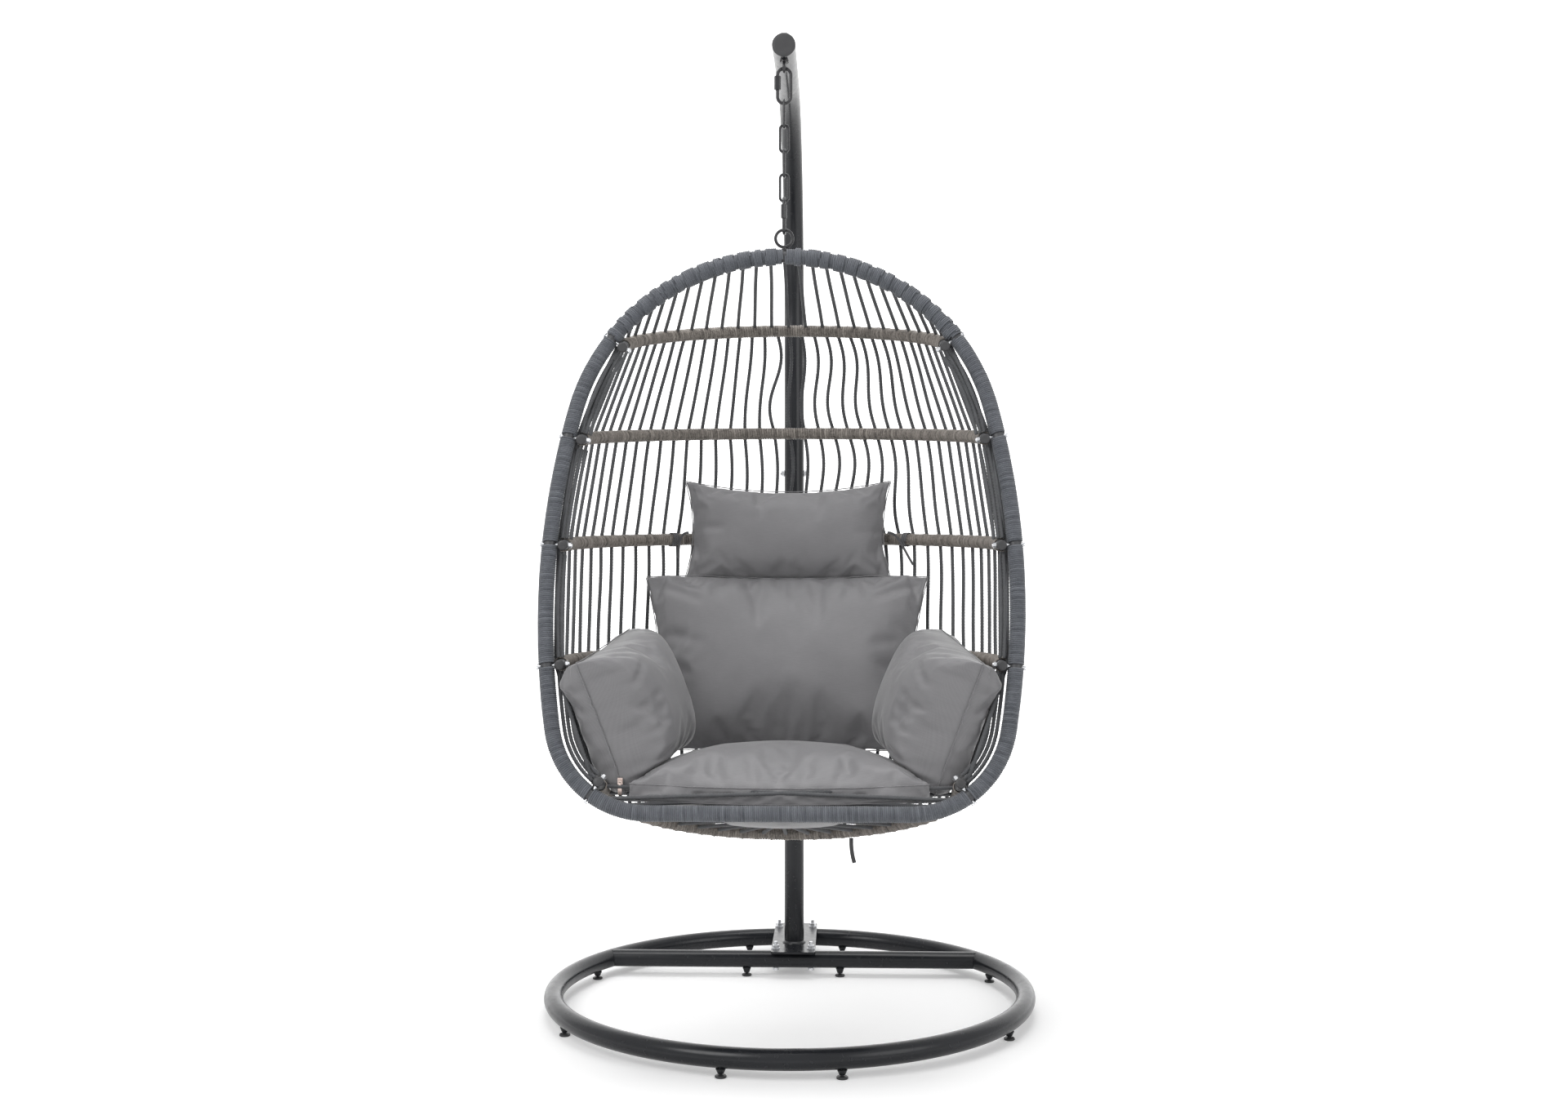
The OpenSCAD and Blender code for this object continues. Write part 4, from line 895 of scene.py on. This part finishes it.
# rim: fine cord wound between the rib fixings, and loops of the hood ropes over it at the top
rimForm = {"Pitch": 0.0036, "Coil Radius": 0.0131, "Strand": 0.00195, "Flat": 1.0, "Steps": 13.0, "Sides": 5,
           "Wobble": 0.0006}
loopForm = {"Pitch": 0.0034, "Coil Radius": 0.0157, "Strand": 0.0019, "Flat": 0.9, "Steps": 14.0, "Sides": 5,
            "Wobble": 0.0016}
loopBand = {"least": 0.010, "most": 0.026, "shift": 0.004, "clear": 0.012, "spacing": 0.003}
rimBreak = 0.0033
lineSpacing = 0.006
boltSpots = [rimDistance(basket["rise"] - down) for down in basket["ribDown"]]
marks = [0.0] + boltSpots
stretches = list(zip(marks, marks[1:]))
stretches += [(-b, -a) for a, b in stretches]
stretches.append((boltSpots[-1], 2 * rimHalf - boltSpots[-1]))


def rimLine(start, end, spacing=lineSpacing):
    count = max(2, round((end - start) / spacing))
    return [rimPoint(start + (end - start) * k / count) for k in range(count + 1)]


rimLines = [rimLine(a + rimBreak, b - rimBreak) for a, b in stretches]
settle(build("rim_winding", windings, rimLines, rimForm, rimCord), "basket", "rim_cord", "rim_wrap")

draw = random.Random(4)
hoodAngle = rimArc(basket["rise"] - basket["ribDown"][0])[3]


def evenShares(count):
    return [(k + 0.5) / count for k in range(count)]


hoodShares = evenShares(basket["hoodRopes"])


def hoodDistance(f):
    return topR * (f - 0.5) * (math.pi - 2 * hoodAngle)


loopLines = []
for f in hoodShares:
    middle = hoodDistance(f) + draw.uniform(-loopBand["shift"], loopBand["shift"])
    width = draw.uniform(loopBand["least"], loopBand["most"])
    if abs(middle) < loopBand["clear"]:
        continue
    loopLines.append(rimLine(middle - width / 2, middle + width / 2, loopBand["spacing"]))
settle(build("hood_loops", windings, loopLines, loopForm, rimCord), "basket", "rim_cord")

# ribs: flat strand wound over each rib, standing up where a rope passes under it
ribForm = {"Pitch": 0.0052, "Coil Radius": 0.0112, "Strand": 0.0027, "Flat": 0.42, "Steps": 12.0, "Sides": 6,
           "Wobble": 0.0008, "Lump": 0.0036, "Ropes": 41.0}
ribLines, ribShares, ribOuts = [], [], []
for rib, bare in zip(ribs, basket["ribBare"]):
    start = bare / rib.run
    count = round(rib.run / lineSpacing)
    shares = [start + (1 - 2 * start) * k / count for k in range(count + 1)]
    ribLines.append([rib.at(f) for f in shares])
    ribShares += shares
    ribOuts += [tuple(rib.out(f)) for f in shares]
ribExtras = {"share": ribShares, "outward": ribOuts}
settle(build("rib_windings", windings, ribLines, ribForm, wickerStrand, ribExtras), "basket", "wicker", "rib_wraps")

# head ties: a few turns of tape round the third rib on either side
tieWraps = {"at": [-0.238, 0.243], "length": 0.014, "points": 3, "search": 2000}
wrapForm = {"Pitch": 0.0046, "Coil Radius": 0.0138, "Strand": 0.0023, "Flat": 0.4, "Steps": 14.0, "Sides": 6,
            "Wobble": 0.0008}
wrapLines = []
for x in tieWraps["at"]:
    shares = (k / tieWraps["search"] for k in range(tieWraps["search"] + 1))
    f = min(shares, key=lambda f: abs(ribs[2].at(f).x - x))
    reach, count = tieWraps["length"] / 2 / ribs[2].run, tieWraps["points"]
    wrapLines.append([ribs[2].at(f + reach * t / count) for t in range(-count, count + 1)])
settle(build("tie_wraps", windings, wrapLines, wrapForm, tapeCloth), "basket", "tape_cloth")

# plugs: a thin domed cap in each open rib end
plugForm = {"lip": 0.0093, "neck": 0.0080, "depth": 0.005, "dome": 0.0024, "sides": 24, "off": 0.0002}
plugProfile = [
    (plugForm["neck"], plugForm["depth"]), (plugForm["neck"], 0.0),
    (plugForm["lip"], 0.0), (plugForm["lip"], -0.0006),
    (plugForm["lip"] * 0.93, -0.0013), (plugForm["lip"] * 0.6, -plugForm["dome"] * 0.86),
    (plugForm["lip"] * 0.25, -plugForm["dome"]),
]


def makePlugs():
    bm = bmesh.new()
    angles = [math.tau * k / plugForm["sides"] for k in range(plugForm["sides"])]
    for rib in ribs:
        for side in (-1, 1):
            middle = rib.base + rib.turn @ Vector((side * rib.half, -basket["ribNose"] - plugForm["off"], 0))
            rings = []
            for radius, y in plugProfile:
                spots = [Vector((radius * math.cos(a), y, radius * math.sin(a))) for a in angles]
                rings.append([bm.verts.new(middle + rib.turn @ spot) for spot in spots])
            skin(bm, rings)
    settle(skinPiece(bm, "rib_plugs", "rib_plugs", capPlastic), "basket", "cap_plastic")



makePlugs()
print("rib plugs made")

# ropes: rows between the rim and the ribs, straight at the sides and wavy towards the middle
ropeForm = {"Step": 0.004, "Radius": 0.0038, "Groove": 0.0004, "Strands": 6, "Lay": 0.036}
ropeEnds = {"shortest": 0.03, "inset": 0.002}


def ropeRow(pairs, wave):
    lines, bow, sway, side = [], [], [], []
    for f, a, b in pairs:
        if (b - a).length < ropeEnds["shortest"]:
            continue
        inset = (b - a).normalized() * ropeEnds["inset"]
        lines.append([a + inset, b - inset])
        out = Vector((math.sin(math.pi * (f - 0.5)), math.cos(math.pi * (f - 0.5)), 0))
        across = (b - a).normalized().cross(out).normalized()
        bows, sways = bends(wave, f)
        bow += [bows] * 2
        sway += [sways] * 2
        side += [tuple(across)] * 2
    return lines, bow, sway, side


def lowPoint(f):
    start = boltSpots[-1]
    return rimPoint(-(start + f * 2 * (rimHalf - start)))


# bends of a rope: its reach along the rim, humps (size, middle, width) over the row, and chance
rowWaves = {
    "still": {"bowChance": 0.001, "swayChance": 0.0008},
    "seat": {"rim": 0.016, "bowChance": 0.001, "swayChance": 0.0008},
    "back": [
        {"rim": 0.012, "bowChance": 0.0015, "sways": [(0.008, 0.60, 0.12), (0.008, 0.475, 0.012)],
         "swayChance": 0.001},
        {"rim": 0.010, "bows": [(0.010, 0.42, 0.09)], "sways": [(0.009, 0.60, 0.10)], "swayChance": 0.001},
        {"rim": 0.008, "bowChance": 0.002, "sways": [(0.003, 0.5, 0.25)], "swayChance": 0.001},
    ],
}
rimHump = 0.05


def hump(f, middle, width):
    return math.exp(-((f - middle) / width) ** 2)


def chance(most):
    return draw.uniform(-most, most) if most else 0.0


def bends(wave, f):
    # at the sides the ropes bow forward along the rim
    bow = wave.get("rim", 0) * (hump(f, 1, rimHump) - hump(f, 0, rimHump))
    bow += sum(size * hump(f, middle, width) for size, middle, width in wave.get("bows", []))
    bow += chance(wave.get("bowChance"))
    sway = sum(size * hump(f, middle, width) for size, middle, width in wave.get("sways", []))
    return bow, sway + chance(wave.get("swayChance"))


def ropePiece(name, rows, *nodes):
    lines, bow, sway, side = [], [], [], []
    for row in rows:
        for total, part in zip((lines, bow, sway, side), row):
            total += part
    piece = build(name, ropes, lines, ropeForm, ropeCord, {"bow": bow, "sway": sway, "side": side})
    return settle(piece, "basket", "rope", *nodes)


# the outermost ropes lie along the inside of the rim, from rib to rib
hugForm = {"first": 0.0205, "step": 0.0078, "behind": 0.009, "stagger": 0.002, "ends": 0.016, "points": 14,
           "tangentStep": 0.004, "counts": [3, 3, 2, 3]}


def hugPoint(d, side, k):
    look, reach = hugForm["tangentStep"], hugForm["first"] + k * hugForm["step"]
    (x0, s0), (x1, s1) = rimFlat(d - look), rimFlat(d + look)
    inward = Vector((s1 - s0, -(x1 - x0), 0)).normalized()
    x, along = rimFlat(d)
    spot = onRim(side * (x + inward.x * reach), along + inward.y * reach)
    back = Vector((0, math.cos(lean), -math.sin(lean)))
    return spot + back * (hugForm["behind"] + hugForm["stagger"] * k)


def hugRow(i):
    start, end = boltSpots[i] + hugForm["ends"], boltSpots[i + 1] - hugForm["ends"]
    count = hugForm["points"]
    places = [start + (end - start) * j / count for j in range(count + 1)]
    lines = [[hugPoint(d, side, k) for d in places] for side in (-1, 1) for k in range(hugForm["counts"][i])]
    return (lines, *stillRope(lines))


backShares = evenShares(basket["backRopes"])
seatShares = evenShares(basket["seatRopes"])


def ribRow(i, wave):
    return ropeRow([(f, ribs[i].outer(f), ribs[i + 1].outer(f)) for f in backShares], wave)


hoodPairs = [(f, rimPoint(hoodDistance(f)), ribs[0].outer(f)) for f in hoodShares]
ropePiece("hood_rope_row", [ropeRow(hoodPairs, rowWaves["still"])], "hood_ropes")
backRows = [ribRow(i, wave) for i, wave in enumerate(rowWaves["back"])]
ropePiece("back_rope_rows", backRows + [hugRow(i) for i in range(3)], "back_ropes")
lowPairs = [(f, ribs[4].at(f), lowPoint(1 - f)) for f in seatShares]
seatRows = [ribRow(3, rowWaves["seat"]), ropeRow(lowPairs, rowWaves["still"])]
ropePiece("seat_rope_rows", seatRows + [hugRow(3)], "seat_ropes")
